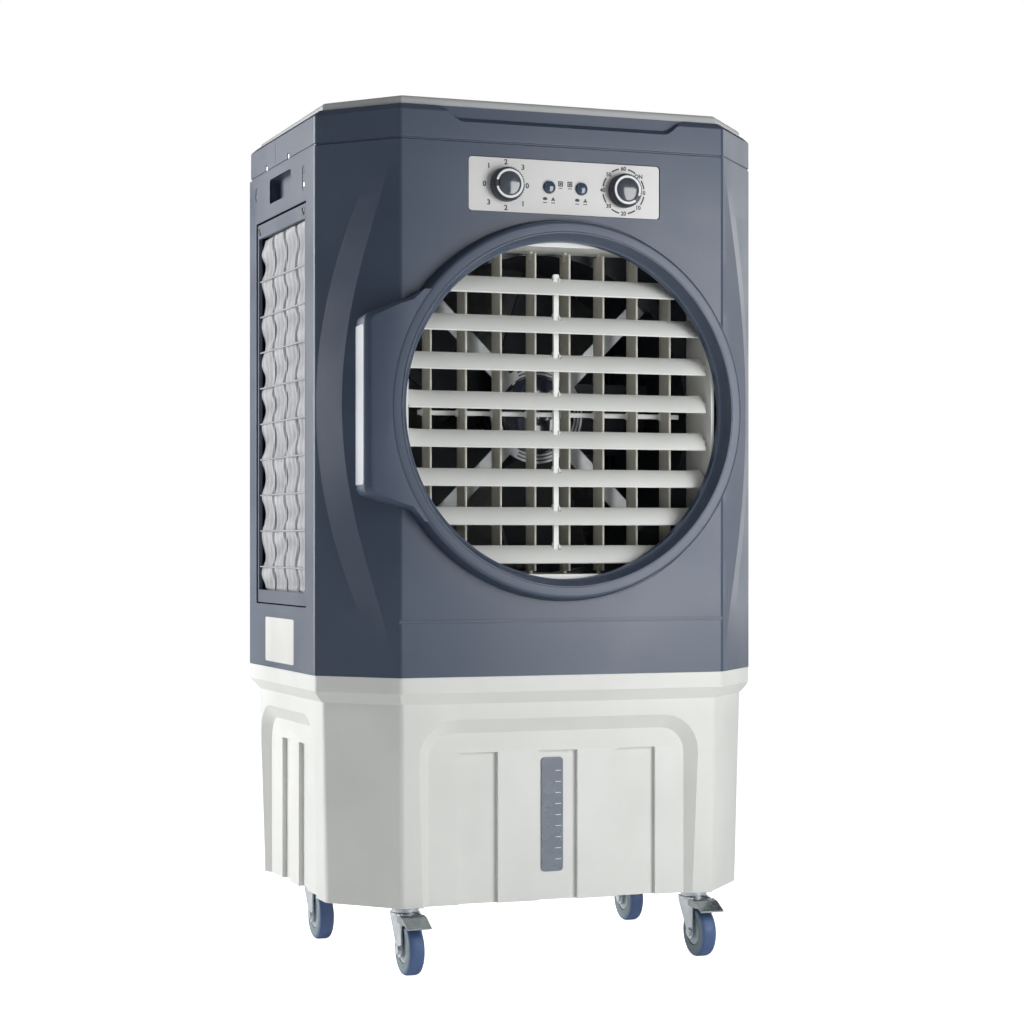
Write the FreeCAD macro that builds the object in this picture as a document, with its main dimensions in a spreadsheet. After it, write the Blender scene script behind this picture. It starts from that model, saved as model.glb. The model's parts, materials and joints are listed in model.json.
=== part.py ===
"""Evaporative air cooler on castors, as a parametric assembly in millimetres.

Frame: +Z up, front towards -Y, +X to the right as seen from the front. The origin is
on the floor, at the centre of the box that holds the machine.
"""
import FreeCAD, Part
import math
import os
import re
import Sketcher

App = FreeCAD
Vector = App.Vector

SIZES = {
    # Casing
    "case_depth": 494, "case_wall": 3, "nose_margin": 4.1,
    "chamfer_width": 97.5, "chamfer_depth": 109, "shell_return": 10,
    "front_reach": 25, "rear_reach": 22,
    "band_rise": 78, "band_groove": 6, "groove_depth": 1.2, "band_margin": 1,
    "crescent_foot": 24, "crescent_half_height": 336, "crescent_tip": 0.99, "crescent_sag": 110,
    "crescent_width": 42, "crescent_margin": 3, "crescent_slope": 0.2, "crescent_steps": 6,
    # Clearances
    "running_gap": 0.05, "seat_gap": 0.3, "panel_gap": 0.4, "cut_room": 1,
    # Tank
    "tank_height": 336, "tank_wall": 3, "tank_inset": 13, "tank_taper": 7,
    "rim_height": 23, "ledge_height": 17,
    "arch_floor": 28, "arch_slope": 17, "arch_slope_depth": 12, "arch_reach": 24,
    "arch_side": 52.5, "arch_drop": 84, "arch_corner": 38,
    "side_arch_half_width": 140, "side_arch_place": 320,
    "channel_width": 61, "channel_depth": 7, "channel_drop": 113, "channel_pitch": 126.5,
    "side_channel_width": 50, "side_channel_first": -48, "side_channel_second": 50,
    "window_width": 35, "window_height": 170, "window_thickness": 2, "window_drop": 124,
    "window_shift": -8,
    # Castors
    "castor_height": 98, "wheel_radius": 37.5, "tyre_half_width": 12.5, "rim_radius": 27,
    "rim_half_width": 11.5, "hub_half_width": 13.9, "hub_radius": 10, "web_half_width": 8,
    "web_root": 2, "rim_inside": 5, "rim_lip": 3, "tyre_lip": 2, "tread_drop": 3, "tread_round": 1.2,
    "tread_inset": 4, "axle_radius": 4, "axle_overhang": 3.5, "bolt_head": 6.5,
    "plate_half_width": 22, "plate_thickness": 2.5, "race_radius": 20, "race_height": 6,
    "kingpin_radius": 5, "kingpin_head": 9, "kingpin_head_height": 3,
    "crown_radius": 22, "crown_thickness": 4, "cheek_thickness": 2.5, "cheek_boss": 11,
    "castor_trail": 22, "front_castor_inset": 122, "front_castor_place": 52,
    "rear_castor_inset": 88, "rear_castor_margin": 89,
    "pedal_pivot_reach": 24, "pedal_pivot_drop": 15, "pedal_pin": 2, "pedal_thickness": 2,
    "pedal_ear": 2, "pedal_reach": 68, "pedal_root_gap": 1, "pedal_bend_reach": 20, "pedal_seat": 1,
    "pedal_bend_drop": 3, "pedal_tip_drop": 15, "pedal_ear_gap": 10, "pedal_ear_rise": 3,
    "pedal_ear_drop": 7, "pedal_ear_foot": 5,
    # Outlet ring and tab
    "outlet_rise": 391, "outlet_radius": 249, "ring_slope_width": 17.5, "ring_crown_width": 10.5,
    "ring_edge_width": 5, "ring_wall": 3, "ring_slope_depth": 10, "spigot_depth": 8,
    "ring_shoulder_drop": 2.5, "ring_round": 9, "ring_back": 34, "ring_inside_step": 1,
    "ring_shoulder_wall": 2, "tab_lap": 4,
    "tab_reach": 315, "tab_bevel": 8, "tab_root_reach": 306, "tab_root": 66, "tab_face": 22,
    "tab_top": 127, "tab_slope_top": 148, "tab_neck_top": 155, "tab_join_top": 170,
    "tab_foot": 121, "tab_slope_foot": 138, "tab_neck_foot": 144, "tab_join_foot": 165,
    "tab_slope_reach": 263, "tab_neck_reach": 243, "tab_join_reach": 226,
    # Control plate
    "fascia_width": 303, "fascia_height": 79, "fascia_gap": 7.5, "fascia_drop": 20.5,
    "fascia_recess": 0.8,
    "knob_spread": 93.5, "button_spread": 25.6, "knob_radius": 25, "knob_length": 17,
    "knob_top_radius": 21, "knob_bevel": 3, "cap_radius": 17, "cap_height": 4,
    "knob_draft": 1, "stem_radius": 3, "stem_gap": 4, "pointer_width": 3, "pointer_depth": 1.5,
    "button_radius": 9, "button_reach": 5, "button_travel": 3, "button_dome": 2,
    "box_margin": 10, "box_wall": 2.5, "box_depth": 55, "switch_size": 36, "switch_depth": 24,
    "micro_size": 14, "micro_depth": 18, "socket_floor": 2,
    # Louvre
    "louvre_side_inset": 3, "louvre_head_margin": 7, "louvre_wall": 5, "rail_wall": 14,
    "louvre_front": 8.4, "louvre_back": 98, "louvre_boss": 6, "boss_inset": 5,
    "blade_count": 8, "blade_pitch": 56.9, "blade_first_rise": 178.4, "blade_place": 30,
    "blade_chord": 36, "blade_thickness": 3, "blade_camber": 2.5, "blade_tilt": 45,
    "blade_end_gap": 4, "blade_pin": 3, "blade_pin_reach": 4.5,
    "link_pin": 1.5, "link_arm": 14, "link_slot": 12, "link_slot_depth": 12,
    "link_width": 8, "link_thickness": 5, "link_end": 9, "link_pin_hold": 2,
    "vane_count": 8, "vane_pitch": 55, "vane_place": 72, "vane_chord": 40,
    "vane_thickness": 3, "vane_end_gap": 4, "vane_pin": 3, "vane_pin_reach": 6,
    "vane_arm": 16, "vane_link_rise": 395, "vane_slot": 12, "vane_slot_depth": 8,
    "vane_link_end": 30, "drive_width": 40, "drive_depth": 34, "drive_height": 52,
    # Fan set
    "duct_radius": 240, "duct_wall": 3, "duct_length": 190, "duct_plate_inset": 54,
    "duct_plate_thickness": 3, "bracket_place": 118, "bracket_thickness": 3,
    "bracket_ring": 75, "bracket_bore": 61, "arm_width": 26, "arm_tab": 24, "arm_lap": 6,
    "motor_radius": 57, "motor_flange": 68, "motor_nose": 8, "motor_length": 92,
    "motor_nose_inset": 14, "motor_tail_round": 6, "motor_tail_inset": 8,
    "shaft_radius": 6, "shaft_length": 62, "fan_gap": 12, "fan_hub_radius": 45,
    "fan_hub_length": 48, "fan_hub_round": 8, "fan_root_lap": 4, "fan_radius": 231, "fan_blade_width": 120,
    "fan_blade_thickness": 3, "fan_pitch": 24, "fan_blades": 5, "bracket_arms": 4,
    # Pads
    "pad_front_margin": 42.7, "pad_rear_margin": 44.3, "pad_rise": 100, "pad_head_gap": 24,
    "pad_frame_depth": 8, "pad_depth": 50, "pad_top_strip": 22, "pad_foot_strip": 20,
    "pad_side_strip": 6, "grid_wire": 3, "grid_first_row": 56.5, "grid_last_gap": 90.5,
    "pad_top_room": 8, "latch_radius": 4, "latch_gap": 1, "latch_inset": 14, "wire_inset": 1,
    "side_bars": 9, "side_columns": 4,
    "rear_pad_inset": 124, "rear_posts": 7,
    # Hand grips
    "grip_place": 241, "grip_width": 126, "grip_drop": 15, "grip_height": 38,
    "grip_depth": 24, "grip_wall": 2,
    # Lid
    "skirt_height": 44, "lid_bevel": 8, "lid_bevel_inset": 10, "lid_front_rim": 16,
    "scoop_top": 200, "scoop_foot": 160, "scoop_rise": 16, "scoop_depth": 12,
    "top_inset": 14, "top_thickness": 12, "crown_rise": 8,
    # Water parts
    "tray_width": 50, "tray_height": 26, "tray_wall": 2.5,
    "pump_width": 60, "pump_depth": 50, "pump_height": 70, "pump_margin": 56,
    "pump_inset": 92, "riser_radius": 8,
    "inlet_radius": 10, "inlet_flange": 16, "inlet_flange_length": 5, "inlet_drop": 90,
    "inlet_spread": 190, "inlet_inside": 25,
    "drain_radius": 12, "drain_flange": 18, "drain_flange_length": 8, "drain_rise": 32,
    "drain_spread": 150,
    # Cable gland and screws
    "gland_radius": 9, "gland_flange": 13, "gland_flange_length": 4, "gland_rise": 48,
    "gland_inset": 64, "gland_reach": 18,
    "screw_shank": 2, "screw_head": 4, "screw_head_height": 1.5, "screw_length": 8,
    "screw_seam_gap": 49, "screw_top_drop": 31, "screw_second_drop": 49,
    "screw_rear_gap": 45, "screw_rear_drop": 28, "screw_foot_gap": 38.3, "screw_foot_rise": 30,
    "lid_screw_rear_gap": 108, "lid_screw_front_gap": 238, "lid_screw_rise": 6,
}

# Heights and planes that several pieces share
CREST = "(outlet_radius + ring_slope_width)"
CROWN = f"({CREST} + ring_crown_width)"
RING = f"({CROWN} + ring_edge_width)"
NOSE = "(outlet_radius + ring_wall + panel_gap + nose_margin)"
SIDE = f"({NOSE} + chamfer_width)"
FRONT = "((front_reach - rear_reach - case_depth) / 2)"
BACK = f"({FRONT} + case_depth)"
TANK_TOP = "(castor_height + tank_height)"
AXIS = f"({TANK_TOP} + outlet_rise)"
DIAL = f"({AXIS} + {RING} + fascia_gap + fascia_height / 2)"
CASE_TOP = f"({DIAL} + fascia_height / 2 + fascia_drop)"
GRIP_TOP = f"({CASE_TOP} - grip_drop)"
GRIP_FOOT = f"({GRIP_TOP} - grip_height)"
SEAM = f"({FRONT} + chamfer_depth + shell_return)"
PAD_FRONT = f"({SEAM} + pad_front_margin)"
PAD_REAR = f"({BACK} - pad_rear_margin)"
PAD_FOOT = f"({TANK_TOP} + pad_rise)"
PAD_TOP = f"({GRIP_FOOT} - pad_head_gap)"
ROW_PITCH = f"(({PAD_TOP} - {PAD_FOOT} - grid_first_row - grid_last_gap) / (side_bars - 1))"
REAR_PAD_HALF = f"({SIDE} - rear_pad_inset)"
LOUVRE_HALF_WIDTH = "(outlet_radius - louvre_side_inset)"
LOUVRE_HALF_HEIGHT = "(outlet_radius + louvre_head_margin)"

doc = App.newDocument("EvaporativeAirCooler")
nodes = []


def build_sheet():
    """Write each driving dimension in a cell that carries its name."""
    sheet = doc.addObject("Spreadsheet::Sheet", "Size")
    for row, (alias, value) in enumerate(SIZES.items(), start=1):
        sheet.set(f"A{row}", alias)
        sheet.set(f"B{row}", str(value))
        sheet.setAlias(f"B{row}", alias)
    doc.recompute()


def link(formula):
    """Point each size's name in a formula at its cell."""
    return re.sub(r"[a-z][a-z_]+", lambda word: f"Size.{word[0]}" if word[0] in SIZES else word[0], formula)


def keep(item):
    """Take a finished piece into the assembly under its own name."""
    item.Label = item.Name
    nodes.append(item)
    return item


# Plain solids

def box(name, across, along, up):
    """Block between two planes in X, in Y and in Z, each given as (low, high)."""
    block = doc.addObject("Part::Box", name)
    spans = zip(("Length", "Width", "Height"), "xyz", (across, along, up))
    for side, letter, (low, high) in spans:
        block.setExpression(side, link(f"({high}) - ({low})"))
        block.setExpression(f"Placement.Base.{letter}", link(low))
    return block


AXIS_TURN = {
    "x": App.Rotation(Vector(0, 1, 0), 90),
    "y": App.Rotation(Vector(-1, 0, 0), 90),
    "z": App.Rotation(),
}


def rod(name, axis, centre, low, high, radius):
    """Cylinder along an axis from low to high; centre holds its other two coordinates."""
    cylinder = doc.addObject("Part::Cylinder", name)
    cylinder.Placement = App.Placement(Vector(), AXIS_TURN[axis])
    cylinder.setExpression("Radius", link(radius))
    cylinder.setExpression("Height", link(f"({high}) - ({low})"))
    cylinder.setExpression(f"Placement.Base.{axis}", link(low))
    for letter, formula in zip("xyz".replace(axis, ""), centre):
        cylinder.setExpression(f"Placement.Base.{letter}", link(formula))
    return cylinder


def join(name, pieces):
    """One solid from pieces that touch or overlap."""
    union = doc.addObject("Part::MultiFuse", name)
    union.Shapes = pieces
    union.Refine = True
    return union


def group(name, pieces):
    """Separate solids kept together in one node."""
    bundle = doc.addObject("Part::Compound", name)
    bundle.Links = pieces
    return bundle


def carve(name, base, tools):
    """The base with the tools' space taken out of it."""
    cut = doc.addObject("Part::Cut", name)
    cut.Base = base
    cut.Tool = tools[0] if len(tools) == 1 else join(f"{name}_tools", tools)
    cut.Refine = True
    return cut


def overlap(name, pieces):
    """The space that all pieces share."""
    common = doc.addObject("Part::MultiCommon", name)
    common.Shapes = pieces
    return common


def mirror(name, piece):
    """The same piece on the machine's other side."""
    image = doc.addObject("Part::Mirroring", name)
    image.Source = piece
    image.Normal = Vector(1, 0, 0)
    return image


# Sketched solids

PLANES = {"x": "YZ_Plane", "y": "XZ_Plane", "z": "XY_Plane"}


def draw_polygon(sketch, corners):
    """Draw a closed outline and tie each corner to its two formulas."""
    count = len(corners)
    angles = [2 * math.pi * number / count for number in range(count)]
    start = [Vector(100 * math.cos(angle), 100 * math.sin(angle), 0) for angle in angles]
    edges = [Part.LineSegment(start[number], start[(number + 1) % count]) for number in range(count)]
    sketch.addGeometry(edges, False)
    ties = [Sketcher.Constraint("Coincident", number, 2, (number + 1) % count, 1) for number in range(count)]
    for number, point in enumerate(start):
        ties.append(Sketcher.Constraint("DistanceX", -1, 1, number, 1, point.x))
        ties.append(Sketcher.Constraint("DistanceY", -1, 1, number, 1, point.y))
    sketch.addConstraint(ties)
    for number, (level, plumb) in enumerate(corners):
        sketch.setExpression(f"Constraints[{count + 2 * number}]", link(level))
        sketch.setExpression(f"Constraints[{count + 2 * number + 1}]", link(plumb))


def attach_sketch(body, name, plane, offset, corners):
    """Sketch a closed outline on one of the body's own planes."""
    sketch = body.newObject("Sketcher::SketchObject", name)
    planes = [feature for feature in body.Origin.OriginFeatures if feature.Role == plane]
    sketch.AttachmentSupport = [(planes[0], "")]
    sketch.MapMode = "FlatFace"
    for letter, formula in zip("xyz", offset):
        sketch.setExpression(f"AttachmentOffset.Base.{letter}", link(formula))
    draw_polygon(sketch, corners)
    return sketch


def prism(name, axis, corners, low, high):
    """Outline padded along an axis from low to high."""
    body = doc.addObject("PartDesign::Body", name)
    depth = f"-({high})" if axis == "y" else low
    sketch = attach_sketch(body, f"{name}_outline", PLANES[axis], ("0", "0", depth), corners)
    pad = body.newObject("PartDesign::Pad", f"{name}_pad")
    pad.Profile = sketch
    pad.setExpression("Length", link(f"({high}) - ({low})"))
    return body


def turned(name, axis, centre, profile):
    """Profile of (along, radius) points turned about an axis through centre."""
    first, second = centre
    places = {
        "x": ("XZ_Plane", ("0", second, f"-({first})"), "H_Axis", profile),
        "y": ("YZ_Plane", ("0", second, first), "H_Axis", profile),
        "z": ("XZ_Plane", (first, "0", f"-({second})"), "V_Axis", [(out, up) for up, out in profile]),
    }
    plane, offset, spindle, corners = places[axis]
    body = doc.addObject("PartDesign::Body", name)
    sketch = attach_sketch(body, f"{name}_profile", plane, offset, corners)
    revolution = body.newObject("PartDesign::Revolution", f"{name}_turning")
    revolution.Profile = sketch
    revolution.ReferenceAxis = (sketch, [spindle])
    revolution.Angle = 360
    return body


SECTION_TURN = {
    "x": App.Rotation(Vector(1, 1, 1), 120),
    "y": App.Rotation(Vector(1, 0, 0), 90),
    "z": App.Rotation(),
}


def loft(name, axis, sections):
    """Straight-sided solid through outlines, each given with its place along the axis."""
    sketches = []
    for number, (place, corners) in enumerate(sections):
        sketch = doc.addObject("Sketcher::SketchObject", f"{name}_section_{number}")
        sketch.Placement = App.Placement(Vector(), SECTION_TURN[axis])
        sketch.setExpression(f"Placement.Base.{axis}", link(place))
        draw_polygon(sketch, corners)
        sketches.append(sketch)
    solid = doc.addObject("Part::Loft", name)
    solid.Sections = sketches
    solid.Solid = True
    solid.Ruled = True
    return solid


# Casing outline seen from above: a rectangle with two front corners cut off

NOSE_TURN = "tan(atan(chamfer_depth / chamfer_width) / 2)"
SHOULDER_TURN = "tan((90 deg - atan(chamfer_depth / chamfer_width)) / 2)"


def plan(inset):
    """Corners of the casing's outline, moved inwards by a distance."""
    side = f"({SIDE} - ({inset}))"
    nose = f"({SIDE} - chamfer_width - ({inset}) * {NOSE_TURN})"
    front = f"({FRONT} + ({inset}))"
    shoulder = f"({FRONT} + chamfer_depth + ({inset}) * {SHOULDER_TURN})"
    rear = f"({BACK} - ({inset}))"
    left = [(f"-{side}", rear), (f"-{side}", shoulder), (f"-{nose}", front)]
    right = [(nose, front), (side, shoulder), (side, rear)]
    return left + right


# Tank

def tank_recess(name, place, swell):
    """Arched recess in one tank wall, with its channels; swell is the wall kept inside it."""
    axis, outward, middle, half_width, shifts, width = place
    wall = f"({SIDE} - arch_floor - {swell})" if axis == "x" else f"({FRONT} + arch_floor + {swell})"
    floor = f"-{wall}" if outward == "left" else wall
    step = {"left": "-", "right": "+", "front": "-"}[outward]
    open_face = f"({floor} {step} arch_reach {step} {swell})"
    grow = "((arch_reach + 2 * " + swell + ") / arch_slope_depth * arch_slope)"
    foot = "castor_height - arch_reach"
    sections = []
    for spot, extra in ((floor, "0"), (open_face, grow)):
        reach = f"({half_width} + {swell} + {extra})"
        top = f"({TANK_TOP} - arch_drop + {swell} + {extra})"
        bend = f"(arch_corner + {swell} + {extra})"
        sections.append((spot, arch_outline(middle, reach, foot, top, bend)))
    arch = loft(f"{name}_arch", axis, sections)
    pieces = [arch]
    for number, shift in enumerate(shifts):
        low = f"{middle} + {shift} - {width} / 2 - {swell}"
        high = f"{middle} + {shift} + {width} / 2 + {swell}"
        deep = {"left": (f"{floor} - cut_room", f"{floor} + channel_depth"),
                "right": (f"{floor} - channel_depth", f"{floor} + cut_room"),
                "front": (f"{floor} - cut_room", f"{floor} + channel_depth")}[outward]
        up = (foot, f"{TANK_TOP} - channel_drop + {swell}")
        spans = (deep, (low, high), up) if axis == "x" else ((low, high), deep, up)
        pieces.append(box(f"{name}_channel_{number}", *spans))
    return join(name, pieces)


def arch_outline(middle, reach, foot, top, bend):
    """Flat-footed outline with two rounded top corners, in steps of fifteen degrees."""
    right = [(f"{middle} + {reach}", foot)]
    left = [(f"{middle} - {reach}", foot)]
    for step in range(7):
        out = f"{reach} - {bend} * (1 - cos({15 * step} deg))"
        up = f"{top} - {bend} * (1 - sin({15 * step} deg))"
        right.append((f"{middle} + ({out})", up))
        left.append((f"{middle} - ({out})", up))
    return right + list(reversed(left))


FRONT_RECESS = ("y", "front", "0", f"({NOSE} - arch_side)",
                ("-channel_pitch", "0", "channel_pitch"), "channel_width")
SIDE_SHIFTS = ("side_channel_first", "side_channel_second")
LEFT_RECESS = ("x", "left", f"({FRONT} + side_arch_place)", "side_arch_half_width",
               SIDE_SHIFTS, "side_channel_width")
RIGHT_RECESS = ("x", "right", f"({FRONT} + side_arch_place)", "side_arch_half_width",
                SIDE_SHIFTS, "side_channel_width")


def make_tank():
    """Open-topped vessel with a rim, a ledge, slightly drawn-in walls and arched recesses."""
    ledge = f"{TANK_TOP} - rim_height - ledge_height"
    shoulder = f"{TANK_TOP} - rim_height"
    outside = loft("tank_outside", "z", [
        ("castor_height", plan("tank_inset + tank_taper")), (ledge, plan("tank_inset")),
        (shoulder, plan("0")), (TANK_TOP, plan("0"))])
    inside = loft("tank_inside", "z", [
        ("castor_height + tank_wall", plan("tank_inset + tank_taper + tank_wall")),
        (ledge, plan("tank_inset + tank_wall")), (shoulder, plan("tank_wall")),
        (f"{TANK_TOP} + tank_wall", plan("tank_wall"))])
    walls = {"front": FRONT_RECESS, "left": LEFT_RECESS, "right": RIGHT_RECESS}
    recesses = [tank_recess(f"{side}_recess", place, "0") for side, place in walls.items()]
    cores = [tank_recess(f"{side}_core", place, "tank_wall") for side, place in walls.items()]
    water_space = carve("water_space", inside, cores)
    drilled = (f"{BACK} - inlet_inside - tank_inset", f"{BACK} + rear_reach")
    inlet_hole = rod("inlet_hole", "y", ("-inlet_spread", f"{TANK_TOP} - inlet_drop"), *drilled,
                     "inlet_radius + running_gap")
    drain_hole = rod("drain_hole", "y", ("drain_spread", "castor_height + drain_rise"), *drilled,
                     "drain_radius + running_gap")
    keep(carve("tank", outside, recesses + [water_space, inlet_hole, drain_hole]))


def make_tank_fittings():
    """Level window in the middle channel, water inlet and drain plug in the rear wall."""
    channel_floor = f"{FRONT} + arch_floor + channel_depth"
    keep(box("level_window",
             ("window_shift - window_width / 2", "window_shift + window_width / 2"),
             (f"{channel_floor} - window_thickness", channel_floor),
             (f"{TANK_TOP} - window_drop - window_height", f"{TANK_TOP} - window_drop")))
    wall_face = f"{BACK} - tank_inset + seat_gap"
    keep(turned("water_inlet", "y", ("-inlet_spread", f"{TANK_TOP} - inlet_drop"), [
        (f"{wall_face} - inlet_inside", "0"), (f"{wall_face} - inlet_inside", "inlet_radius"),
        (wall_face, "inlet_radius"), (wall_face, "inlet_flange"),
        (f"{wall_face} + inlet_flange_length", "inlet_flange"),
        (f"{wall_face} + inlet_flange_length", "inlet_radius"),
        (f"{BACK} + rear_reach", "inlet_radius"), (f"{BACK} + rear_reach", "0")]))
    keep(turned("drain_plug", "y", ("drain_spread", "castor_height + drain_rise"), [
        (f"{wall_face} - inlet_inside", "0"), (f"{wall_face} - inlet_inside", "drain_radius"),
        (wall_face, "drain_radius"), (wall_face, "drain_flange"),
        (f"{wall_face} + drain_flange_length", "drain_flange"),
        (f"{wall_face} + drain_flange_length", "0")]))


# Castors

FRONT_SPREAD = f"({SIDE} - front_castor_inset)"
REAR_SPREAD = f"({SIDE} - rear_castor_inset)"
CASTORS = {
    "front_left": (f"-{FRONT_SPREAD}", f"({FRONT} + front_castor_place)", True),
    "front_right": (FRONT_SPREAD, f"({FRONT} + front_castor_place)", True),
    "rear_left": (f"-{REAR_SPREAD}", f"({BACK} - rear_castor_margin)", False),
    "rear_right": (REAR_SPREAD, f"({BACK} - rear_castor_margin)", False),
}
CHEEK_INSIDE = "(hub_half_width + seat_gap)"
CHEEK_OUTSIDE = f"({CHEEK_INSIDE} + cheek_thickness)"
RACE_FOOT = "(castor_height - plate_thickness - race_height)"
CROWN_TOP = f"({RACE_FOOT} - seat_gap)"
CROWN_FOOT = f"({CROWN_TOP} - crown_thickness)"
PEDAL_HEIGHT = "(castor_height - pedal_pivot_drop)"


def castor_plate(spot, across, along):
    """Top plate with its ball race and kingpin."""
    plate = box(f"{spot}_plate", (f"{across} - plate_half_width", f"{across} + plate_half_width"),
                (f"{along} - plate_half_width", f"{along} + plate_half_width"),
                ("castor_height - plate_thickness", "castor_height"))
    head = f"{CROWN_FOOT} - seat_gap"
    stack = turned(f"{spot}_race", "z", (across, along), [
        (f"{head} - kingpin_head_height", "0"), (f"{head} - kingpin_head_height", "kingpin_head"),
        (head, "kingpin_head"), (head, "kingpin_radius"), (RACE_FOOT, "kingpin_radius"),
        (RACE_FOOT, "race_radius"), ("castor_height - plate_thickness", "race_radius"),
        ("castor_height - plate_thickness", "0")])
    return join(f"{spot}_castor_plate", [plate, stack])


def make_castor_fork(spot, across, along, braked):
    """Crown, two cheeks and the axle bolt."""
    wheel_place = f"({along} - castor_trail)"
    crown = turned(f"{spot}_crown", "z", (across, along), [
        (CROWN_FOOT, "kingpin_radius + running_gap"), (CROWN_TOP, "kingpin_radius + running_gap"),
        (CROWN_TOP, "crown_radius"), (CROWN_FOOT, "crown_radius")])
    outline = [
        (f"{along} - pedal_pivot_reach - cheek_boss / 2", CROWN_TOP), (f"{along} + race_radius", CROWN_TOP),
        (f"{along} + race_radius", f"{CROWN_FOOT} - crown_thickness"),
        (f"{wheel_place} + cheek_boss", "wheel_radius"), (f"{wheel_place} - cheek_boss", "wheel_radius"),
        (f"{along} - pedal_pivot_reach - cheek_boss / 2", f"{CROWN_FOOT} - cheek_boss")]
    cheeks = []
    for number, (low, high) in enumerate(((f"-{CHEEK_OUTSIDE}", f"-{CHEEK_INSIDE}"),
                                          (CHEEK_INSIDE, CHEEK_OUTSIDE))):
        span = (f"{across} + {low}", f"{across} + {high}")
        sheet = prism(f"{spot}_cheek_{number}", "x", outline, *span)
        boss = rod(f"{spot}_boss_{number}", "x", (wheel_place, "wheel_radius"), *span, "cheek_boss")
        cheeks += [sheet, boss]
    axle = rod(f"{spot}_axle", "x", (wheel_place, "wheel_radius"),
               f"{across} - {CHEEK_OUTSIDE} - axle_overhang", f"{across} + {CHEEK_OUTSIDE} + axle_overhang",
               "axle_radius")
    head = rod(f"{spot}_bolt_head", "x", (wheel_place, "wheel_radius"),
               f"{across} - {CHEEK_OUTSIDE} - axle_overhang", f"{across} - {CHEEK_OUTSIDE}", "bolt_head")
    nut = rod(f"{spot}_nut", "x", (wheel_place, "wheel_radius"),
              f"{across} + {CHEEK_OUTSIDE}", f"{across} + {CHEEK_OUTSIDE} + axle_overhang", "bolt_head")
    name = f"castor_fork_{spot}"
    if not braked:
        keep(join(name, [crown, axle, head, nut] + cheeks))
        return
    whole = join(f"{spot}_fork_blank", [crown, axle, head, nut] + cheeks)
    pin_hole = rod(f"{spot}_pin_hole", "x", (f"{along} - pedal_pivot_reach", PEDAL_HEIGHT),
                   f"{across} - crown_radius", f"{across} + crown_radius", "pedal_pin + running_gap")
    keep(carve(name, whole, [pin_hole]))


def make_castor_wheel(spot, across, along):
    """Moulded core on the axle, and the tyre round it."""
    centre = (f"{along} - castor_trail", "wheel_radius")
    core_half = [("hub_half_width", "axle_radius + running_gap"), ("hub_half_width", "hub_radius"),
                 ("web_half_width", "hub_radius + web_root"), ("web_half_width", "rim_radius - rim_inside"),
                 ("rim_half_width", "rim_radius - rim_lip"), ("rim_half_width", "rim_radius")]
    tyre_half = [("rim_half_width", "rim_radius"), ("tyre_half_width", "rim_radius + tyre_lip"),
                 ("tyre_half_width", "wheel_radius - tread_drop"),
                 ("tyre_half_width - tread_round", "wheel_radius - tread_round"),
                 ("tyre_half_width - tread_inset", "wheel_radius")]
    pieces = []
    for label, half in (("core", core_half), ("tyre", tyre_half)):
        right = [(f"{across} + {out}", radius) for out, radius in half]
        left = [(f"{across} - ({out})", radius) for out, radius in reversed(half)]
        pieces.append(turned(f"{spot}_{label}", "x", centre, right + left))
    keep(group(f"castor_wheel_{spot}", pieces))


def make_brake_pedal(spot, across, along):
    """Bent steel pedal with two ears that hang on the fork's cheeks."""
    ear_inside = f"({CHEEK_OUTSIDE} + seat_gap)"
    ear_outside = f"({ear_inside} + pedal_ear)"
    pivot = f"({along} - pedal_pivot_reach)"
    root = f"({pivot} - cheek_boss / 2 - pedal_root_gap)"
    bend = f"({pivot} - pedal_bend_reach)"
    tip = f"({along} - pedal_reach)"
    top, middle = f"({CROWN_TOP} - pedal_seat)", f"({CROWN_TOP} - pedal_bend_drop)"
    low = f"({CROWN_TOP} - pedal_tip_drop)"
    strip = prism(f"{spot}_pedal_strip", "x", [
        (root, top), (bend, middle), (tip, low), (tip, f"{low} - pedal_thickness"),
        (bend, f"{middle} - pedal_thickness * 1.2"), (root, f"{top} - pedal_thickness")],
        f"{across} - {ear_outside}", f"{across} + {ear_outside}")
    pieces = [strip]
    ear_outline = [(f"{pivot} + pedal_pin * 2", f"{top} - pedal_thickness"), (root, top), (bend, middle),
                   (f"{tip} + pedal_ear_gap", f"{low} + pedal_ear_rise"),
                   (bend, f"{PEDAL_HEIGHT} - pedal_ear_drop"),
                   (f"{pivot} + pedal_pin * 2", f"{PEDAL_HEIGHT} - pedal_ear_foot")]
    for number, (low_side, high_side) in enumerate(((f"-{ear_outside}", f"-{ear_inside}"),
                                                    (ear_inside, ear_outside))):
        pieces.append(prism(f"{spot}_ear_{number}", "x", ear_outline,
                            f"{across} + {low_side}", f"{across} + {high_side}"))
    left_pin = rod(f"{spot}_pin_left", "x", (pivot, PEDAL_HEIGHT),
                   f"{across} - {ear_outside}", f"{across} - {CHEEK_INSIDE} - seat_gap", "pedal_pin")
    right_pin = rod(f"{spot}_pin_right", "x", (pivot, PEDAL_HEIGHT),
                    f"{across} + {CHEEK_INSIDE} + seat_gap", f"{across} + {ear_outside}", "pedal_pin")
    keep(join(f"brake_pedal_{spot}", pieces + [left_pin, right_pin]))


def make_castors():
    """Four swivel castors, the front two with brake pedals."""
    plates = []
    for spot, (across, along, braked) in CASTORS.items():
        plates.append(castor_plate(spot, across, along))
        make_castor_fork(spot, across, along, braked)
        make_castor_wheel(spot, across, along)
        if braked:
            make_brake_pedal(spot, across, along)
    keep(group("castor_plates", plates))


# Casing

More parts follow.
